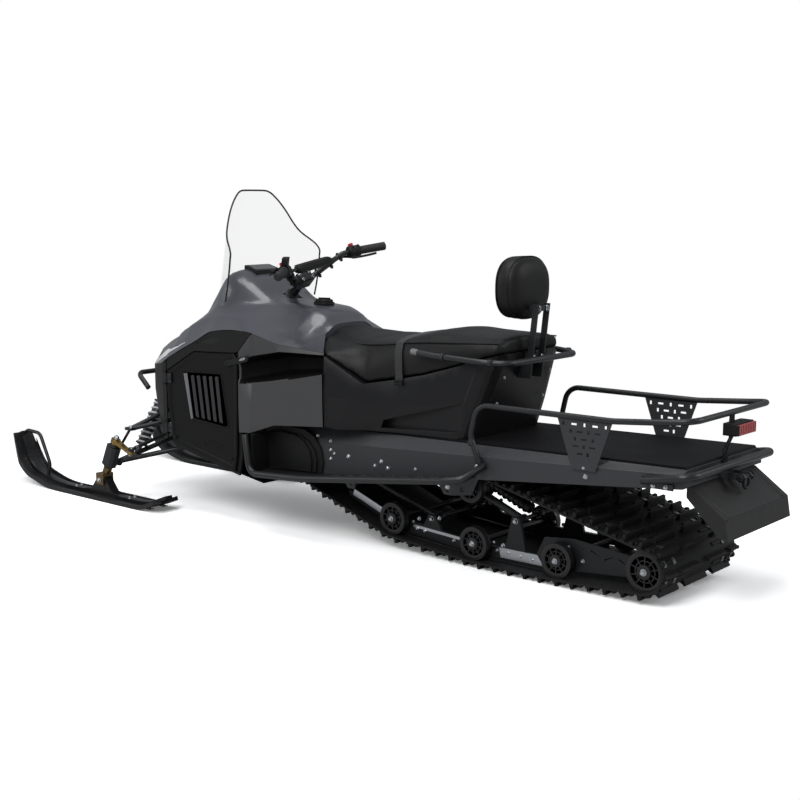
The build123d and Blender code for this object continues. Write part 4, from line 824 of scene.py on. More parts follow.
# two rows of plain raised pips low on the door, where the photograph has raised letters
pips = []
for row in range(2):
    for k in range(9):
        x, z = 372 + 18 * k + 6 * row, 302 - 16 * row + 2.2 * k
        pips.append(slab((x, x + 9), (SIDE_Y - 6.0, SIDE_Y - 2.6), (z, z + 6)))
door_black = surface("fine_grained_polypropylene", "#0f0f10", 0.45, mottle=(90.0, 0.1), grain=(1.5, 0.1), shine=0.18)
# The slats are drawn lighter grey than the black door plastic they belong to: painted light on the slats.
louvre_painted_light = surface("louvre_plastic_painted_light", "#313133", 0.35, mottle=(60.0, 0.08), grain=(1.2, 0.03))
# Near black for the louvre pocket and the scoop throats: painted shade.
shade_black = surface("near_black_painted_shade", "#080809", 0.7, mottle=(8.0, 0.3), grain=(3.0, 0.4))
silver_plastic = surface("pale_moulded_trim", "#77787c", 0.38, metallic=0.2, mottle=(60.0, 0.08),
                         grain=(1.2, 0.03))
for side, body in ((1, "side_door_left"), (-1, "side_door_right")):
    word = "left" if side == 1 else "right"
    panel = piece("door_panel_" + word, on_side(side, door_parts()), door_black, body, 0.0, 30)
    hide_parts("side_door_" + word)
    piece("door_louvre_shade_" + word, on_side(side, [pocket]), shade_black, body)
    piece("latch_button_" + word, on_side(side, latch_buttons), zinc, body)
    piece("door_louvres_" + word, on_side(side, louvres), louvre_painted_light, body, 0.8)
    piece("door_bar_" + word, on_side(side, light_bars), silver_plastic, body, 0.6)
    piece("door_latch_" + word, on_side(side, latch_parts), satin_black, body, 0.8)
    piece("door_pips_" + word, on_side(side, pips + door_bolts), moulded_black, body, 0.6)
    hinge = []
    for z in (330.0, 540.0):
        hinge.append(turned([(3.2, 0), (6, 0), (6, 40), (3.2, 40)], (751, SIDE_Y + 3, z), (0, 0, 1), 24))
        hinge.append(slab((716, 747), (SIDE_Y - 1.6, SIDE_Y + 2.2), (z, z + 40)))
        for u in (724, 738):
            hinge += hex_bolt((u, SIDE_Y + 2.2, z + 20), (0, 1, 0), 6)
    piece("door_hinges_" + word, on_side(side, hinge), black_coat, body, 0.5)

# Foam seal on the frame behind the gap round each door
seal_foam = surface("closed_cell_foam", "#101011", 0.8, mottle=(20.0, 0.2), grain=(1.5, 0.2))
seal = [[(x, y, z) for x, z in shrunk(DOOR, turn_sign(DOOR) * inn)] for inn, y in
        ((-15, SIDE_Y - 16.5), (11, SIDE_Y - 16.5), (11, SIDE_Y - 24), (-15, SIDE_Y - 24),
         (-15, SIDE_Y - 16.5))]
piece("door_seals", pair([skin(seal, ends=False)]), seal_foam, "chassis")

# Intake scoop let into each side panel: a throat drawn near black as painted shade, with three blades
scoop = [(560, 716), (470, 752), (400, 742), (470, 718)]
throat = [skin([[(x, SIDE_Y - 6, z) for x, z in scoop],
                [(x, SIDE_Y - 19, z) for x, z in shrunk(scoop, turn_sign(scoop) * 3)]])]
blades = []
for k in range(3):
    x0 = 440 + 30 * k
    blades.append(plate([(x0, 722), (x0 + 5, 722), (x0 + 24, 744 - 4 * k), (x0 + 19, 744 - 4 * k)],
                        SIDE_Y - 18, SIDE_Y - 7))
piece("scoop_throats", pair(throat), shade_black, "chassis")
piece("scoop_blades", pair(blades), moulded_black, "chassis", 0.6)


# ---- Leg shields ----
# Blow-moulded skins with a deep hollow for the rider's knee, smooth satin black, screwed to the
# frame behind the doors.
SHIELD_ROWS = [
    (306.0, ((345, 378), (345, 575), (338, 600), (338, 640), (341, 655), (341, 700))),
    (229.0, ((360, 386), (363, 580), (300, 610), (300, 662), (341, 690), (341, 778))),
    (118.0, ((362, 422), (365, 596), (270, 632), (270, 686), (341, 710), (341, 756))),
    (90.0, ((362, 432), (365, 600), (262, 640), (262, 692), (341, 715), (341, 750))),
    (-161.7, ((350, 452), (352, 650), (290, 668), (290, 704), (341, 722), (341, 728.5))),
]


def shield_row(x):
    """The leg shield's (y, z) knots at a station, its upper edge tucked under the hood."""
    for i, ((x0, a), (x1, b)) in enumerate(zip(SHIELD_ROWS, SHIELD_ROWS[1:])):
        if x1 <= x <= x0:
            k = (x0 - x) / (x0 - x1)
            pts = [(p[0] + k * (q[0] - p[0]), p[1] + k * (q[1] - p[1])) for p, q in zip(a, b)]
            if x <= 229:
                y, z = hood_row(max(x, -158))[:2]
                pts[-1] = (min(pts[-1][0], y - 1.5), z - 1.0)
                pts[-2] = (min(pts[-2][0], y + 2), pts[-2][1])
            return pts


def shield_part():
    """Closed skin of the left shield, 4.5 mm thick."""
    rings = []
    for k in range(61):
        x = 306.0 + (-161.7 - 306.0) * k / 60
        pts = shield_row(x)
        # the hollow's lip and floor as soft curves rather than folds
        line = [pts[0], ((pts[0][0] + pts[1][0]) / 2 + 1.5, (pts[0][1] + pts[1][1]) / 2), pts[1]]
        a, b, c, d = pts[1], pts[2], pts[3], pts[4]
        for t in (0.15, 0.35, 0.6, 0.85):
            line.append((a[0] + (b[0] - a[0]) * (t * t * (3 - 2 * t)), a[1] + (b[1] - a[1]) * t))
        line += [b, ((b[0] + c[0]) / 2 - 1, (b[1] + c[1]) / 2), c]
        for t in (0.2, 0.45, 0.7, 0.9):
            line.append((c[0] + (d[0] - c[0]) * (t * t * (3 - 2 * t)), c[1] + (d[1] - c[1]) * t))
        line += [d, pts[5]]
        front = [(x, y, z) for y, z in line]
        back = [(x, y - 4.5, z) for y, z in reversed(line)]
        rings.append(front + back)
    return skin(rings)


# The shield's faces are drawn mid grey, lighter than the black plastic it is moulded from: painted light from how
# they face the lamps and the floor.
shield_painted_light = surface("blow_moulded_polyethylene_painted_light", "#3d3d3e", 0.42, mottle=(240.0, 0.08),
                         grain=(1.2, 0.03))
shield = piece("leg_shield_skins", pair([shield_part()]), shield_painted_light, "chassis", 0.0, 42)
# The faces inside the knee hollow are drawn near black: painted shade in the hollow.
hollow_painted_shade = surface("blow_moulded_polyethylene_painted_shade", "#060606", 0.6, mottle=(240.0, 0.08),
                         grain=(1.2, 0.03), shine=0.08)
shield.data.materials.append(hollow_painted_shade)
for face in shield.data.polygons:
    mid = face.center * 1000
    lip, roof = shield_row(max(min(mid.x, 305.0), -161.0))[1], shield_row(max(min(mid.x, 305.0), -161.0))[4]
    if mid.x < 296 and lip[1] + 1 < mid.z < roof[1] + 2 and abs(mid.y) < 358:
        face.material_index = 1
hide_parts("leg_shields")


# ---- Seat base ----
# Blow-moulded plastic box with rounded rear corners that carries the seat and closes onto the
# deck. Screws hold it along its rear corner.
dress("seat_base", satin_black, 5.0)


def base_rear_x(z):
    """Where the base's slanted rear face stands at a height."""
    return -772.0 - (z - 457.0) * 86.0 / 259.0


base_bolts = []
for z in (676, 580):
    base_bolts += hex_bolt((base_rear_x(z), 142, z), (-1, 0, -0.25), 9)
nub = turned([(0, 0), (8.5, 0), (9, 3), (7, 8), (3, 11), (0, 11.5)], (-372, 254, 478), (0, 1, 0), 20)
piece("seat_base_nubs", pair([nub]), satin_black, "chassis")
piece("seat_base_bolts", pair(base_bolts), zinc, "chassis")


# ---- Seat ----
# Moulded foam under a tight cover of coated vinyl, sewn to its side panels along a piped edge.
# The cover is pulled round the foam, so its surface swells a little between the seams.
VINYL_GRAIN_MM, VINYL_CREASE_MM = 2.2, 90.0


def leathered(name, colour, dull):
    """Vinyl with pressed pores, drawn coarser than the real 0.8 mm so that they show, and soft creases."""
    material, tree = new_material(name)
    place = add_node(tree, "TexCoord")
    pores = add_node(tree, "TexVoronoi", {"Scale": 1000 / VINYL_GRAIN_MM, "feature": "SMOOTH_F1"},
                     Vector=(place, "Object"))
    creases = add_node(tree, "TexNoise", {"Scale": 1000 / VINYL_CREASE_MM, "Detail": 4.0, "Distortion": 0.6},
                       Vector=(place, "Object"))
    base = linear(colour)
    worn = add_node(tree, "MixRGB", {"Color1": tuple(c * 0.82 for c in base[:3]) + (1,),
                                     "Color2": tuple(c * 1.25 for c in base[:3]) + (1,)}, Fac=(creases, 0))
    low = add_node(tree, "Bump", {"Strength": 1.0, "Distance": 0.00012}, Height=(pores, "Distance"))
    high = add_node(tree, "Bump", {"Strength": 0.8, "Distance": 0.0022}, Height=(creases, 0), Normal=(low, 0))
    sheen = add_node(tree, "MapRange", {"To Min": dull - 0.06, "To Max": dull + 0.1}, Value=(creases, 0))
    shader = add_node(tree, "BsdfPrincipled", {"Coat Weight": 0.03, "Coat Roughness": 0.35,
                                               "Specular IOR Level": 0.28},
                      Base_Color=(worn, 0), Roughness=(sheen, 0), Normal=(high, 0))
    add_node(tree, "OutputMaterial", None, Surface=(shader, 0))
    return material


vinyl = leathered("coated_seat_vinyl", "#101011", 0.5)
# station: lower joint, bend of the side, piping, shoulder and crown, as (half width, height)
SEAT_ROWS = [
    (12.0, (150, 738, 151, 752, 122, 764, 80, 786, 797)),
    (-60.0, (234, 726, 236, 749, 150, 759, 100, 779, 788)),
    (-110.0, (287, 722, 288, 739, 176, 757, 130, 773, 782)),
    (-160.0, (335, 719, 331, 729, 196, 754, 150, 768, 778)),
    (-205.0, (314, 689, 302, 722, 208, 757, 155, 770, 779)),
    (-250.0, (289, 657, 278, 700, 214, 758, 158, 770, 778)),
    (-300.0, (265, 622, 257, 680, 218, 761, 160, 772, 780)),
    (-370.0, (256, 636, 250, 696, 220, 767, 160, 778, 786)),
    (-450.0, (248, 649, 243, 710, 220, 777, 160, 792, 801)),
    (-520.0, (244, 665, 240, 722, 217, 783, 160, 806, 817)),
    (-560.0, (241, 673, 238, 728, 212, 786, 160, 812, 822)),
    (-640.0, (235, 696, 232, 742, 208, 789, 156, 809, 817)),
    (-748.0, (219, 729, 217, 762, 200, 794, 150, 807, 814)),
    (-856.0, (186, 761, 186, 780, 174, 797, 134, 808, 814)),
]


def seat_numbers(x):
    """Joint, bend, piping, shoulder and crown at a station. Only the joint runs straight between rows."""
    x = min(max(x, SEAT_ROWS[-1][0]), SEAT_ROWS[0][0])
    for i, ((x0, a), (x1, b)) in enumerate(zip(SEAT_ROWS, SEAT_ROWS[1:])):
        if x1 <= x <= x0:
            k = (x0 - x) / (x0 - x1)
            joint = tuple(p + (q - p) * k for p, q in zip(a[:4], b[:4]))
            soft = curve_through(SEAT_ROWS[max(i - 1, 0)][1], a, b,
                                 SEAT_ROWS[min(i + 2, len(SEAT_ROWS) - 1)][1], k)
            return joint + tuple(soft[4:])
    return SEAT_ROWS[-1][1]


def seat_ring(x, share=1.0):
    """Closed cross section of the cushion; share draws it in towards its middle for the rounded ends."""
    yj, zj, yb, zb, yp, zp, ys, zs, zc = seat_numbers(x)
    half = [(yj * 0.5, zj), (yj - 14, zj), (yj - 3, zj + 1.5)]
    for k in (0.15, 0.5, 0.85):
        half.append((yj + (yb - yj) * k + 2.0 * math.sin(math.pi * k), zj + (zb - zj) * k))
    for k in (0.08, 0.25, 0.45, 0.65, 0.85):
        half.append((yb + (yp - yb) * k + 3.0 * math.sin(math.pi * k),
                     zb + (zp - zb) * k + 4.0 * math.sin(math.pi * k)))
    half += [(yp, zp - 1.0), (yp - 5, zp + 1.5), (yp - 14, zp + 2.0)]
    knots = [(yp, zp - 8), (yp - 14, zp + 2.0), (ys, zs), (ys * 0.45, zc - 1), (0, zc), (-ys * 0.45, zc - 1)]
    for i in (1, 2, 3):
        for k in (0.25, 0.5, 0.75, 1.0):
            half.append(curve_through(knots[i - 1], knots[i], knots[i + 1], knots[i + 2], k))
    zm = (zj + zc) / 2
    half = [(y * share, zm + (z - zm) * (1 - (1 - share) * 0.6)) for y, z in half]
    return [(x, y, z) for y, z in half] + [(x, -y, z) for y, z in reversed(half[:-1])]


def seat_rings():
    """Cross sections from the rounded front end to the rounded rear end."""
    stations = [(12.0, 0.9), (9.0, 0.96), (3.0, 0.99)] + [(-5.0 - 9.4 * k, 1.0) for k in range(89)]
    stations += [(-840.0, 0.995), (-849.0, 0.97), (-855.0, 0.92), (-858.0, 0.84)]
    return [seat_ring(x, share) for x, share in stations]


def puffed(thing, voxel_mm, pressure, cap_mm):
    """Swells a closed cushion as cloth under pressure, each point moving at most so far."""
    bpy.context.view_layer.objects.active = thing
    thing.select_set(True)
    remesh = thing.modifiers.new("even_cloth", "REMESH")
    remesh.mode, remesh.voxel_size = "VOXEL", voxel_mm / 1000
    bpy.ops.object.modifier_apply(modifier=remesh.name)
    before = [v.co.copy() for v in thing.data.vertices]
    cloth = thing.modifiers.new("cover", "CLOTH")
    cloth.settings.use_pressure = True
    cloth.settings.uniform_pressure_force = pressure
    cloth.settings.effector_weights.gravity = 0
    cloth.settings.tension_stiffness = cloth.settings.compression_stiffness = 25
    cloth.settings.bending_stiffness = 1.5
    for at in range(1, 21):
        scene.frame_set(at)
    evaluated = thing.evaluated_get(bpy.context.evaluated_depsgraph_get())
    after = [v.co.copy() for v in evaluated.data.vertices]
    thing.modifiers.remove(cloth)
    for vertex, a, b in zip(thing.data.vertices, before, after):
        move = b - a
        if move.length > cap_mm / 1000:
            move *= cap_mm / 1000 / move.length
        vertex.co = a + move
    smooth = thing.modifiers.new("settled", "SMOOTH")
    smooth.factor, smooth.iterations = 0.5, 4
    bpy.ops.object.modifier_apply(modifier=smooth.name)
    thing.select_set(False)
    thing.data.shade_smooth()
    scene.frame_set(1)


cushion = piece("seat_cushion", [skin(seat_rings())], vinyl, "chassis", smooth_deg=60)
puffed(cushion, 7.0, 2.0, 3.0)
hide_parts("seat")


def seat_piping(side):
    """Points along the sewn edge of the cushion's top."""
    line = []
    for k in range(86):
        x = 6.0 - 854.0 * k / 85
        yp, zp = seat_numbers(x)[4:6]
        line.append((x, side * (yp + 0.5), zp + 1.0))
    return line


piping = [tube(seat_piping(s), 3.0, 8) for s in (1, -1)]
piece("seat_piping", piping, vinyl, "chassis")
seam_thread = surface("grey_sewing_thread", "#3a3a3c", 0.6, mottle=(4.0, 0.2), grain=(0.8, 0.05))
stitches = []
for s in (1, -1):
    line = [Vector(p) for p in seat_piping(s)]
    for a, b in zip(line, line[1:]):
        out = Vector((0, s * 1.0, -6.5))
        stitches.append(tube([a + (b - a) * 0.2 + out, a + (b - a) * 0.75 + out], 0.9, 5))
piece("seat_stitches", stitches, seam_thread, "chassis")

# Nylon strap over the cushion for a passenger, sewn double, with a slide buckle near its end
webbing, tree = new_material("woven_nylon_webbing")
place = add_node(tree, "TexCoord")
# ribs across the webbing 2.5 mm apart, drawn coarser than the real 1.2 mm
weave = add_node(tree, "TexWave", {"Scale": 1000 / 2.5 / 6.283, "bands_direction": "Z", "Distortion": 0.3},
                 Vector=(place, "Object"))
tint = add_node(tree, "MixRGB", {"Color1": linear("#101011"), "Color2": linear("#1e1e20")}, Fac=(weave, 0))
bump = add_node(tree, "Bump", {"Strength": 1.0, "Distance": 0.0004}, Height=(weave, 0))
shader = add_node(tree, "BsdfPrincipled", {"Roughness": 0.55, "Sheen Weight": 0.15}, Base_Color=(tint, 0),
                  Normal=(bump, 0))
add_node(tree, "OutputMaterial", None, Surface=(shader, 0))


STRAP_X = -456.0


def strap_part(x, half_wide, thick, lean, lift):
    """Band that lies on the cushion from joint to joint, further forward over the top by lean."""
    count = len(seat_ring(x)) - 6
    line, outward = [], []
    for i in range(count):
        at = x + lean * min(1.0, 1.6 * math.sin(math.pi * i / (count - 1)))
        top = seat_ring(at)[3:-3]
        a, b = Vector(top[max(i - 1, 0)]), Vector(top[min(i + 1, count - 1)])
        way = (b - a).normalized()
        n = Vector((0, -way.z, way.y))
        if n.dot(Vector(top[i]) - Vector((at, 0, 700))) < 0:
            n = -n
        line.append(Vector(top[i]) + n * lift)
        outward.append(n * thick)
    rings = []
    for p, n in zip(line, outward):
        fore = Vector((half_wide, 0, 0))
        rings.append([tuple(p - fore), tuple(p + fore), tuple(p + fore + n), tuple(p - fore + n)])
    return rings


strap_rings = strap_part(STRAP_X, 17.0, 2.4, 22.0, 4.2)
tails = [[(p[0], s * (abs(p[1]) + 3.0), p[2] - 28) for p in end] for s,
         end in ((1, strap_rings[0]), (-1, strap_rings[-1]))]
strap_rings = [tails[0]] + strap_rings + [tails[1]]
strap = piece("passenger_strap", [skin(strap_rings)], webbing, "chassis", 0.5, 60)
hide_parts("seat_strap")
buckle_y = abs(strap_rings[0][0][1])
buckle_z = strap_rings[0][0][2]
buckles = [slab((STRAP_X - 21, STRAP_X + 21), (buckle_y - 2, buckle_y + 6), (buckle_z - 4, buckle_z + 8)),
           slab((STRAP_X - 19, STRAP_X + 19), (buckle_y + 2, buckle_y + 7), (buckle_z + 10, buckle_z + 14))]
piece("strap_buckles", pair(buckles), moulded_black, "chassis", 1.2)


# ---- Grab rail and backrest ----
# A bent steel hoop round the seat's rear with grey end plugs and clamp straps, and a leather-look
# pad on two punched flat bars.
GRAB_Y, GRAB_REAR_Y, GRAB_REAR_X = 266.0, 205.0, -912.0


def rounded_route(points, radii, per=8):
    """Straight runs joined by round bends."""
    pts = [Vector(p) for p in points]
    out = [pts[0]]
    for a, b, c, r in zip(pts, pts[1:], pts[2:], radii):
        u, v = (a - b).normalized(), (c - b).normalized()
        half = u.angle(v) / 2
        cut = r / math.tan(half)
        start, stop = b + u * cut, b + v * cut
        for k in range(per + 1):
            t = k / per
            out.append(start * (1 - t) ** 2 + b * 2 * t * (1 - t) + stop * t ** 2)
    return out + [pts[-1]]


hoop = [(-530, GRAB_Y, 756), (-620, GRAB_Y, 748), (-830, 250, 738), (GRAB_REAR_X, GRAB_REAR_Y, 735),
        (GRAB_REAR_X, -GRAB_REAR_Y, 735), (-830, -250, 738), (-620, -GRAB_Y, 748), (-530, -GRAB_Y, 756)]
hoop = tube(rounded_route(hoop, [200, 150, 50, 50, 150, 200]), 11.0, 20)
# short pegs carry its front ends, and flat stays its rear
pegs = []
for s in (1, -1):
    pegs.append(tube([(-548, s * 262, 752.5), (-548, s * 236, 748)], 8.0, 16))
    pegs.append(slab((-913, -868), sorted((s * 108, s * 132)), (728, 734)))
grab = piece("grab_hoop", [hoop] + pegs, black_coat, "chassis", 0.6)
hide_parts("grab_rail")
dress("backrest_post", black_coat, 1.0)
rail_fits = []
for s in (1, -1):
    a, b = Vector((-530, GRAB_Y * s, 756)), Vector((-620, GRAB_Y * s, 748))
    way = (a - b).normalized()
    rail_fits.append(turned([(0, -1), (11.3, -1), (11.6, 2), (11.6, 26), (10.0, 28.5), (0, 28.5)],
                            a - way * 25, way, 24))
cap_plastic = surface("grey_moulded_plug", "#6c6d70", 0.4, mottle=(20.0, 0.1), grain=(1.0, 0.04))
piece("grab_rail_caps", rail_fits, cap_plastic, "chassis")
clamps = []
for x, y, z in ((-668, 264.0, 746.5), (-860, 241.0, 737)):
    for s in (1, -1):
        clamps.append(turned([(11.2, -7), (13.6, -7), (13.6, 7), (11.2, 7)], (x, y * s, z), (1, -0.05 * s, 0), 24))
piece("grab_rail_clamps", clamps, black_coat, "chassis", 0.6)
rest_bolts = []
for z in (734.0, 742.0, 908.0, 918.0):
    for y in (-24, 24):
        x = -892.0 - 31.0 * (z - 738.0) / 266.0 if z < 800 else -913.5
        rest_bolts += hex_bolt((x + (3 if z < 800 else 4.5), y, z), (-1, 0, 0), 10)
piece("backrest_bolts", rest_bolts, zinc, "chassis")

PAD_BACK, PAD_HALF, PAD_Z0, PAD_Z1 = -870.3, 126.0, 872.0, 1096.0
# depth ahead of the pad's back face, share of its half width and half height
PAD_ROWS = [(-6.0, 0.30), (-4.0, 0.55), (0.5, 0.72), (8.0, 0.85), (20.0, 0.945), (36.0, 0.99), (52.0, 1.0),
            (68.0, 0.985),
            (82.0, 0.93), (93.0, 0.83), (100.0, 0.68), (104.0, 0.45), (105.0, 0.2)]


def pad_ring(x, share, points=48):
    """Cross section of the backrest's pad at a depth."""
    mid, high = (PAD_Z0 + PAD_Z1) / 2, (PAD_Z1 - PAD_Z0) / 2
    ring = []
    for t in circle_angles(points):
        c, s = math.cos(t), math.sin(t)
        ring.append((x, PAD_HALF * share * squared(c, 0.78), mid + high * share * squared(s, 0.78)))
    return ring


pad = piece("backrest_cushion", [skin([pad_ring(PAD_BACK + d, s) for d, s in PAD_ROWS])], vinyl, "chassis",
            0, 80)
puffed(pad, 5.0, 3.0, 5.0)
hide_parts("backrest_pad")
welt = []
for ahead_of, share, r in ((80.0, 0.955, 2.8), (30.0, 0.985, 2.4)):
    round_pad = pad_ring(PAD_BACK + ahead_of, share, 72)
    welt.append(tube(round_pad + [round_pad[0]], r, 8))
piece("backrest_piping", welt, vinyl, "chassis")


# ---- Cargo rack ----
# Bent steel tube on two punched plates, bolted to the tunnel's sides, powder coated black.
dress("cargo_rack", black_coat, 0.6)
dress("rack_plates", charcoal_coat, 0.8)
rack_parts = [slab((-858, -826), (276, 280), (372, 404)),
              turned([(10.2, -9), (13.2, -9), (13.2, 9), (10.2, 9)], (-812, 285.4, 462), (0.42, 0, 0.9), 24)]
piece("rack_feet", pair(rack_parts), black_coat, "chassis", 0.8)
# a half-round hollow pressed into the tunnel's shoulder under each plate, as an open skin
PLATE_X = -1268.0
rings = []
for share, lift in ((1.0, 0.4), (0.93, 1.6), (0.86, 0.2), (0.4, 0.0), (0.05, 0.0)):
    ring = []
    for k in range(29):
        t = math.pi * k / 28
        u, v = 72 * share * math.cos(t), 46 * share * math.sin(t)
        f = v / 60.0
        y = 246.0 + (275.2 - 246.0) * min(f, 1.0) + lift
        top = deck_z(PLATE_X + u) - 8.6
        ring.append((PLATE_X + u, y, top + (crease_z(PLATE_X + u) - top) * min(f, 1.0) + lift))
    rings.append(ring)
dimples = [skin(rings, ends=False, closed=False)]
shadow_coat = surface("charcoal_coat_in_shade", "#1b1c1e", 0.6, mottle=(40.0, 0.25), grain=(1.6, 0.08))
piece("tunnel_dimples", pair(dimples), shadow_coat, "chassis")
plate_bolts = hex_bolt((PLATE_X, 279.6, deck_z(PLATE_X) - 34), (0, 1, 0), 11)
piece("rack_bolts", pair(plate_bolts), zinc, "chassis")


# ---- Tail lamp, bumper, hitch and flap ----
# A red acrylic lens in a black housing on a folded strap, a bent bumper tube with open ends, a
# forged towing eye on two cheeks, and a boxed flap of thick rubber sheet.
dress("tail_lamp", moulded_black, 2.0)
red_lens = surface("red_acrylic", "#a30f10", 0.2, mottle=(20.0, 0.2), grain=(4.0, 0.25), coat=1.0)
dress("tail_lens", red_lens, 2.0)
dress("rear_bumper", black_coat, 1.2)
dress("tow_hitch", charcoal_coat, 0.8)
dress("snow_flap", rubber, 2.2)
lamp_parts = []
for z in (557.0, 587.0):
    lamp_parts.append(slab((-1697, -1650), (-62, 62), (z - 3.0, z + 1.5)))
for y in (-60, 60):
    lamp_parts.append(slab((-1697, -1650), (y - 2.5, y + 2.5), (556, 588)))
for k in range(6):
    lamp_parts.append(slab((-1652, -1645), (-50 + 20 * k - 3, -50 + 20 * k + 3), (556, 590)))
piece("tail_lamp_bezel", lamp_parts, moulded_black, "chassis", 1.0)
lens_ribs = [slab((-1699.4, -1697.4), (-54 + 12 * k, -52 + 12 * k), (557, 587)) for k in range(10)]
piece("tail_lens_ribs", lens_ribs, red_lens, "chassis", 0.5)
wire_black = surface("pvc_wire_sleeve", "#121213", 0.45, mottle=(30.0, 0.1), grain=(1.0, 0.04))
harness = tube(eased([(-1654, 30, 556), (-1658, 34, 538), (-1646, 26, 512), (-1634, 18, 488),
                      (-1626.5, 17, 462)], 8), 2.4, 8)
piece("tail_lamp_harness", [harness], wire_black, "chassis")
bumper_bits, bumper_bolts = [], []
for s in (1, -1):
    bumper_bits.append(slab((-1592, -1500), sorted((s * 275.2, s * 281)), (400, 420)))
    for x in (-1522, -1566):
        bumper_bolts += hex_bolt((x, s * 281, 409), (0, s, 0), 11)
    bumper_bits.append(turned([(0, 0), (13.6, 0), (13.6, 3), (11.4, 3.2), (10.8, -6), (0, -6)],
                              (-1489.8, s * 288.8, 424), (1, 0, 0), 28))
piece("bumper_brackets", bumper_bits, black_coat, "chassis", 1.0)
piece("bumper_bolts", bumper_bolts, zinc, "chassis")
ring_line = [(-1700, 19 * math.cos(t), 398 + 19 * math.sin(t)) for t in circle_angles(29, 28)]
forged = surface("forged_hitch_steel", "#2a2b2d", 0.45, metallic=0.7, mottle=(12.0, 0.25), grain=(1.4, 0.12))
hitch_parts = [tube([(-1696, -34, 416), (-1696, 34, 416)], 8.1, 20)]
hitch_parts += hex_bolt((-1696, 33, 416), (0, 1, 0), 22) + hex_bolt((-1696, -33, 416), (0, -1, 0), 22)
piece("hitch_pin_bolt", hitch_parts, forged, "chassis", 0.4)
piece("hitch_ring", [tube(ring_line, 5.0, 12)], forged, "chassis")
flap_bits = []
for s in (1, -1):
    flap_bits.append(skin([[(x, s * y, z) for x, y, z in ((-1626, 200, 402), (-1738, 200, 326),
                                                          (-1738, 188, 326), (-1626, 188, 402))],
                           [(x, s * y, z) for x, y, z in ((-1628.5, 198, 404.6), (-1740.5, 198, 328.6),
                                                          (-1740.5, 190, 328.6),
                                                          (-1628.5, 190, 404.6))]]))
flap_bits.append(skin([[(-1742.5, y, z) for y, z in ((-215, 321), (215, 321), (215, 315), (-215, 315))],
                       [(-1745.2, y, z) for y, z in ((-213, 320), (213, 320), (213, 316), (-213, 316))]]))
piece("flap_ribs", flap_bits, rubber, "chassis", 0.8)


# ---- Front bumper and suspension ----
# A bent tube hook on two plates ahead of the nose, and double arms of welded tube with a gas
# damper and a pale coil spring each side. The knuckles are cast and painted black.
dress("front_bumper", black_coat, 1.0)
dress("suspension_arms", black_coat, 0.8)
dress("front_shocks", black_coat, 0.8)
dress("knuckles", cast_grey, 3.0)
pale_spring = surface("white_coated_spring_steel", "#c9cbce", 0.35, mottle=(12.0, 0.08), grain=(1.0, 0.03))
shock_low, shock_high = Vector((1030, 284, 198)), Vector((1000, 156, 440))
way = (shock_high - shock_low).normalized()
a, b = between(shock_low, shock_high, 44, 36)
piece("front_springs", pair([coil(a, b, 25.0, 4.4, 8.5)]), pale_spring, "chassis")
seats = []
for p in (a - way * 3, b + way * 3):
    seats.append(turned([(14, -4), (30, -4), (30.5, 0), (29, 3), (14, 3)], p, way, 28))
piece("front_spring_seats", pair(seats), black_coat, "chassis", 0.6)
arm_bolts = []
for at, out in (((1000, 183.5, 440), (0, 1, 0)), ((1098, 365, 157), (0, 1, 0)), ((1012, 336, 318), (0, 0, 1)),
                ((998, 344, 318), (0, 0, 1)), ((948, 140.2, 410), (0, 1, 0)), ((880, 140.2, 372), (0, 1, 0)),
                ((800, 140.2, 262), (0, 1, 0))):
    arm_bolts += hex_bolt(at, out, 12)
piece("suspension_bolts", pair(arm_bolts), zinc, "chassis")
king_foot, king_head = Vector((1129, 395, 82)), Vector((1050, 380, 282))
king_way = (king_head - king_foot).normalized()
seals = [turned([(14.2, -3), (23, -3), (24, 0), (22, 3), (14.2, 3)], king_foot + king_way * s, king_way, 28)
         for s in (69.0, 167.5)]
piece("knuckle_seals", pair(seals), rubber, "chassis", 0.5)
caps = []
for s in (1, -1):
    caps.append(turned([(0, -1), (11.2, -1), (11.6, 2), (9.5, 3.4), (0, 3.4)], (1040.6, s * 209.2, 476.5),
                       (-0.78, 0, -0.63), 24))
piece("front_bumper_caps", caps, rubber, "chassis")


# ---- Steering and skis ----
# Forged arms and spindles plated in yellow zinc, straight tie rods with rod ends, and moulded
# plastic skis with a steel wear bar, a keel and a tubular loop.
yellow_zinc = surface("yellow_zinc_plate", "#a58a52", 0.34, metallic=1.0, mottle=(14.0, 0.22),
                      grain=(1.0, 0.03))
bronzed_zinc = surface("bronzed_zinc_plate", "#7e6a4a", 0.36, metallic=1.0, mottle=(16.0, 0.25),
                       grain=(1.0, 0.03))
for node in ("spindle_left", "spindle_right"):
    dress(node, bronzed_zinc, 0.8)
for node in ("steering_arm_left", "steering_arm_right"):
    dress(node, yellow_zinc, 1.4)
for node in ("tie_rod_left", "tie_rod_right"):
    dress(node, black_coat, 0.8)
ski_plastic = surface("moulded_ski_polyethylene", "#141416", 0.36, mottle=(160.0, 0.12), grain=(1.6, 0.05))
for node in ("ski_left", "ski_right"):
    dress(node, ski_plastic, 1.6)
SKI_Y = 395.0
ARM_DIR = Vector((-king_way.z, 0, king_way.x)).normalized()
ARM_END = king_foot + king_way * 190 + ARM_DIR * 108
ski_top = []
for x in (940, 1320):
    for y in (-14, 14):
        ski_top.append((x, SKI_Y + y, 26.0))
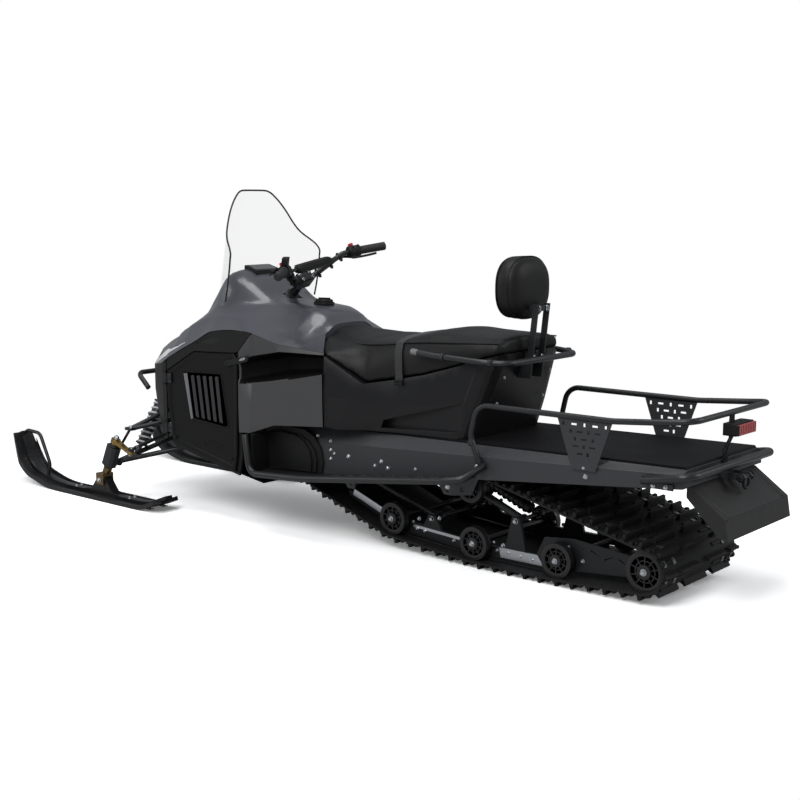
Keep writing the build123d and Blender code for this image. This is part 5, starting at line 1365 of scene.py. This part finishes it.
for side, word in ((1, "left"), (-1, "right")):
    fits = []
    for x, y, z in ski_top:
        fits += hex_bolt((x, y, z), (0, 0, 1), 11)
    for y in (29.5, -29.5):
        fits += hex_bolt((1129, SKI_Y + y, 82), (0, 1 if y > 0 else -1, 0), 17)
    piece("ski_bolts_" + word, on_side(side, fits), zinc, "ski_" + word)
    saddle = [plate([(1000, 25.5), (1262, 25.5), (1240, 31), (1168, 40), (1148, 62), (1110, 62), (1092, 40),
                     (1022, 31)], y0, y1)
              for y0, y1 in ((SKI_Y + 20.2, SKI_Y + 20.9), (SKI_Y - 20.9, SKI_Y - 20.2))]
    flutes = []
    for y in (-44, -30, 30, 44):
        for x0, x1 in ((760, 1060), (1200, 1420)):
            flutes.append(slab((x0, x1), (SKI_Y + y - 2, SKI_Y + y + 2), (7.5, 11.0)))
    piece("ski_flutes_" + word, on_side(side, saddle + flutes), ski_plastic, "ski_" + word,
          0.8)
    arm_bits = hex_bolt(ARM_END - king_way * 7.2, -king_way, 15)
    arm_bits += hex_bolt(king_foot + king_way * 203.6, king_way, 20)
    piece("steering_bolts_" + word, on_side(side, arm_bits), zinc, "ski_" + word)
    rod_end = [turned([(0, 6.8), (8, 6.8), (8, 10), (5.5, 12), (0, 12)], ARM_END + king_way * 14.3, king_way, 20)]
    rod_at, rod_far = ARM_END + king_way * 14.3, Vector((960, 112, 292))
    a, b = between(rod_at, rod_far, 16, 22)
    rod_way = (b - a).normalized()
    for nut_at in (a + rod_way * 6, b - rod_way * 24):
        rod_end.append(turned([(8.1, 0), (10.5, 0), (10.5, 12), (8.1, 12)], nut_at, rod_way, 6))
    piece("tie_rod_nuts_" + word, on_side(side, rod_end), zinc, "tie_rod_" + word)


# ---- Windshield ----
# Blown polycarbonate sheet, 4 mm thick and nearly unseen, in a thin black rubber edge. It leans
# back 11 degrees and its foot stands on the pod.
clear_sheet, tree = new_material("clear_polycarbonate")
glass = add_node(tree, "BsdfPrincipled", {"Base Color": linear("#b9bdc2"), "Roughness": 0.06, "Alpha": 0.07})
add_node(tree, "OutputMaterial", None, Surface=(glass, 0))
SHEET_RADIUS, SHEET_THICK = 273.0, 4.0
LEAN = math.radians(11)
lean_up, lean_ahead = Vector((-math.sin(LEAN), 0,
                              math.cos(LEAN))), Vector((math.cos(LEAN), 0, math.sin(LEAN)))
sheet_foot = Vector((575.0, 0, 1335.0)) - lean_ahead * 275.0 - lean_up * 620.0
# half outline of the sheet seen from behind, as (y, z), from its top middle to its foot
SHEET_OUTLINE = [(0, 1334), (62, 1333), (85, 1327), (103, 1315), (130, 1288), (160, 1247), (190, 1194),
                 (207, 1166), (222, 1146),
                 (238, 1126), (250, 1106), (257, 1082), (258, 1056), (259, 1010), (259, 940), (258, 886)]


def on_sheet(y, z, radius):
    """Point of the leaning cylinder at a width and height."""
    reach = math.sqrt(max(radius ** 2 - y ** 2, 0.0))
    high = (z - sheet_foot.z - lean_ahead.z * reach) / lean_up.z
    p = sheet_foot + lean_ahead * reach + lean_up * high
    return p.x, y, z


outline = [tuple(p[:2]) for p in eased([Vector((y, z, 0)) for y, z in SHEET_OUTLINE], 5)]
sheet_rows = []
SHEET_FOOT_Z, SHEET_TOP_Z = 868.0, 1332.5
for k in range(49):
    # rows of equal height from the foot to the top, each as wide as the outline there
    z = SHEET_FOOT_Z + (SHEET_TOP_Z - SHEET_FOOT_Z) * k / 48
    wide = 250.0
    for (ya, za), (yb, zb) in zip(outline, outline[1:]):
        if zb <= z <= za and za > zb:
            wide = ya + (yb - ya) * (za - z) / (za - zb)
            break
    sheet_rows.append([(wide * (2 * m / 40 - 1), z) for m in range(41)])
outer = [[on_sheet(y, z, SHEET_RADIUS) for y, z in row] for row in sheet_rows]
inner = [[on_sheet(y, z, SHEET_RADIUS - SHEET_THICK) for y, z in row] for row in sheet_rows]
sheet = piece("windshield_sheet", [skin([a + list(reversed(b)) for a, b in zip(outer, inner)])], clear_sheet,
              "chassis")
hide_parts("windshield")
around = [(y, z) for y, z in reversed(outline)] + [(-y, z) for y, z in outline[1:]]
rim = tube([on_sheet(y, z, SHEET_RADIUS - SHEET_THICK / 2) for y, z in around], 3.6, 10)
rim = piece("windshield_rim", [rim], rubber, "chassis")
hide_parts("windshield_edge")


# ---- Handlebar, grips and controls ----
# A bent steel bar with a padded cross tube, ribbed rubber grips, moulded switch blocks and
# forged levers. All of it turns with the bar.
BAR_TURN = Matrix.Rotation(math.radians(10.5), 4, -post_way)
CLAMP = Vector((277.0, 0.0, 970.0))


def with_bar(parts):
    """Parts drawn for a straight bar, turned as the bar is."""
    return [([tuple(CLAMP + BAR_TURN @ (Vector(p) - CLAMP)) for p in points], faces) for points,
            faces in parts]


BAR_END, BAR_BEND, BAR_ROOT = Vector((-165, 365, 82)), Vector((-72, 190, 78)), Vector((0, 52, 0))
bar_along = (BAR_END - BAR_BEND).normalized()


def on_bar(back, side):
    """Point on the grip part of the bar, back from its end."""
    v = BAR_END - bar_along * back
    return Vector((CLAMP.x + v.x, side * v.y, CLAMP.z + v.z))


dress("handlebar", black_coat, 1.0)
grip_parts = []
for side in (1, -1):
    start, stop = on_bar(2, side), on_bar(120, side)
    way = (stop - start).normalized()
    profile = [(0, -4.5), (14, -4.5), (17.5, -2.5), (17.8, 0)]
    for k in range(22):
        h = 3 + k * 4.9
        profile += [(16.9, h), (17.6, h + 0.8), (17.6, h + 2.6), (16.9, h + 3.4)]
    profile += [(17.6, 113), (20.5, 114.5), (20.5, 117.5), (17.0, 119), (11.2, 119)]
    grip_parts.append(turned(profile, start, way, 32))
bar_pad_at = BAR_ROOT + (BAR_BEND - BAR_ROOT) * 0.8
pad_mid = Vector((CLAMP.x + bar_pad_at.x, 0, CLAMP.z + bar_pad_at.z))
grip_piece = piece("bar_grips", with_bar(grip_parts), rubber, "handlebar", 0, 50)
pad_rings = []
for y, share in ((-112, 0.35), (-111, 0.7), (-106, 0.88), (-96, 0.97), (-60, 1.0), (0, 1.0), (60, 1.0),
                 (96, 0.97), (106, 0.88),
                 (111, 0.7), (112, 0.35)):
    ring = []
    for t in circle_angles(32):
        c, s = math.cos(t), math.sin(t)
        ring.append((pad_mid.x + 19.0 * share * squared(c, 0.7), y,
                     pad_mid.z + 19.0 * share * squared(s, 0.7)))
    pad_rings.append(ring)
bar_pad = piece("bar_pad", with_bar([skin(pad_rings)]), vinyl, "handlebar", 0, 70)
puffed(bar_pad, 4.0, 2.0, 1.5)
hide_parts("grips")
pad_seams = []
for t0 in (0.8, 2.35):
    line = []
    for k in range(25):
        y = -106 + 212 * k / 24
        share = 1.0 if abs(y) < 96 else 0.95
        c, s = math.cos(t0), math.sin(t0)
        line.append((pad_mid.x + 19.4 * share * squared(c, 0.7), y,
                     pad_mid.z + 19.4 * share * squared(s, 0.7)))
    pad_seams.append(tube(line, 1.1, 6))
piece("bar_pad_seams", with_bar(pad_seams), seam_thread, "handlebar")

# Switch blocks, levers and the red stop switch
red_switch = surface("red_switch_plastic", "#b0181c", 0.35, mottle=(30.0, 0.08), grain=(1.2, 0.04), coat=0.2)
dress("bar_controls", moulded_black, 1.6)
blocks, buttons, reds = [], [], []
for side in (1, -1):
    a, b = on_bar(124, side), on_bar(170, side)
    mid, way = (a + b) / 2, (b - a).normalized()
    blocks.append(turned([(11.3, -2), (24.6, -2), (25.6, 2), (25.6, 20), (24.6, 23), (24.6, 26), (25.6, 29),
                          (25.6, 44), (23.5, 48), (11.3, 48)], a, way, 14))
    up = Vector((-0.45, 0, 0.9))
    for k in (-13, 13):
        buttons.append(turned([(0, 20), (6.5, 20), (6.5, 28.2), (5.2, 29.6), (0, 29.6)], mid + way * k, up, 20))
    back = Vector((-0.9, 0, 0.25))
    buttons.append(skin([[tuple(mid + way * u + back * h + Vector((0, 0, v))) for u,
                          v in ((-12, -5), (12, -5), (12, 5), (-12, 5))] for h in (18, 27.5)]))
    reds.append(turned([(0, 20), (9.5, 20), (11, 29), (11, 33), (8.5, 36), (0, 36)], mid + way * 2,
                       (0.35, 0, 0.94), 24))
    if side == 1:
        # brake fluid reservoir on the left block
        block = [(-22, 20), (16, 20), (18, 24), (18, 52), (15, 57), (-20, 57), (-24, 52), (-24, 24)]
        rows = [[tuple(mid + way * (u - 4 * out) + Vector((-0.25, 0, 0.97)) * h + Vector((v, 0, 0))) for u,
                 h in block]
                for v, out in ((-14, 0.4), (-10, 0), (12, 0), (16, 0.4))]
        blocks.append(skin(rows))
piece("switch_blocks", with_bar(blocks), moulded_black, "handlebar", 0.8)
blades = []
for side, offsets in ((-1, ((8, -22), (26, -30), (30, -31), (26, -28))),
                      (1, ((12, -10), (40, -4), (46, 2), (42, 4)))):
    blade = [on_bar(back, side) + Vector((u, 0, v)) for back, (u, v) in zip((150, 124, 60, 16), offsets)]
    blades.append(tube(eased(blade, 8), 5.0, 10))
piece("hand_levers", with_bar(blades), black_coat, "handlebar")
piece("switch_buttons", with_bar(buttons), satin_black, "handlebar", 0.6)
piece("red_stop_switch", with_bar(reds), red_switch, "handlebar", 0.5)

# Clamp block over the post with four cap screws, and the lines tied along the bar
clamp_parts, clamp_screws = [], []
side_way = Vector((0, 1, 0))
fore = post_way.cross(side_way).normalized()
for h0, h1, u, v in ((-6, 12, 21, 44), (13, 25, 19, 41)):
    clamp_parts.append(skin([[tuple(CLAMP - post_way * h + fore * p * u + side_way * q * v) for p, q in
                              ((-1, -0.86), (-0.8, -1), (0.8, -1), (1, -0.86), (1, 0.86), (0.8, 1), (-0.8, 1),
                               (-1, 0.86))]
                             for h in (h0, h1)]))
for u in (-12, 12):
    for v in (-32, 32):
        clamp_screws += hex_bolt(CLAMP - post_way * 25 + fore * u + side_way * v, -post_way, 10)
piece("bar_clamp", with_bar(clamp_parts), cast_grey, "handlebar", 1.4)
piece("bar_clamp_screws", with_bar(clamp_screws), zinc, "handlebar")
lines, ties = [], []
for side, drop, r in ((1, 15, 3.2), (-1, 15, 3.2), (1, 21, 2.4), (-1, 20, 2.4)):
    pts = [on_bar(150, side) + Vector((8, 0, -drop - 6))]
    for v in (BAR_BEND, BAR_BEND * 0.7 + BAR_ROOT * 0.3, BAR_BEND * 0.3 + BAR_ROOT * 0.7):
        pts.append(Vector((CLAMP.x + v.x + 14, side * v.y, CLAMP.z + v.z - drop)))
    pts.append(Vector((CLAMP.x + 22, side * 34, CLAMP.z - 26)))
    pts.append(CLAMP + post_way * 58 + Vector((10, side * 16, 4)))
    pts.append(CLAMP + post_way * 100 + Vector((4, side * 11, 2)))
    lines.append(tube(eased(pts, 8), r, 8))
for side in (1, -1):
    for share in (0.25, 0.62, 0.92):
        v = BAR_ROOT * (1 - share) + BAR_BEND * share
        p = Vector((CLAMP.x + v.x + 5, side * v.y, CLAMP.z + v.z - 8))
        run = BAR_BEND - BAR_ROOT
        way = Vector((run.x, side * run.y, run.z)).normalized()
        ties.append(turned([(19.6, -2.2), (21, -2.2), (21, 2.2), (19.6, 2.2)], p, way, 20))
piece("bar_lines", with_bar(lines), wire_black, "handlebar")
piece("bar_line_ties", with_bar(ties), wire_black, "handlebar")
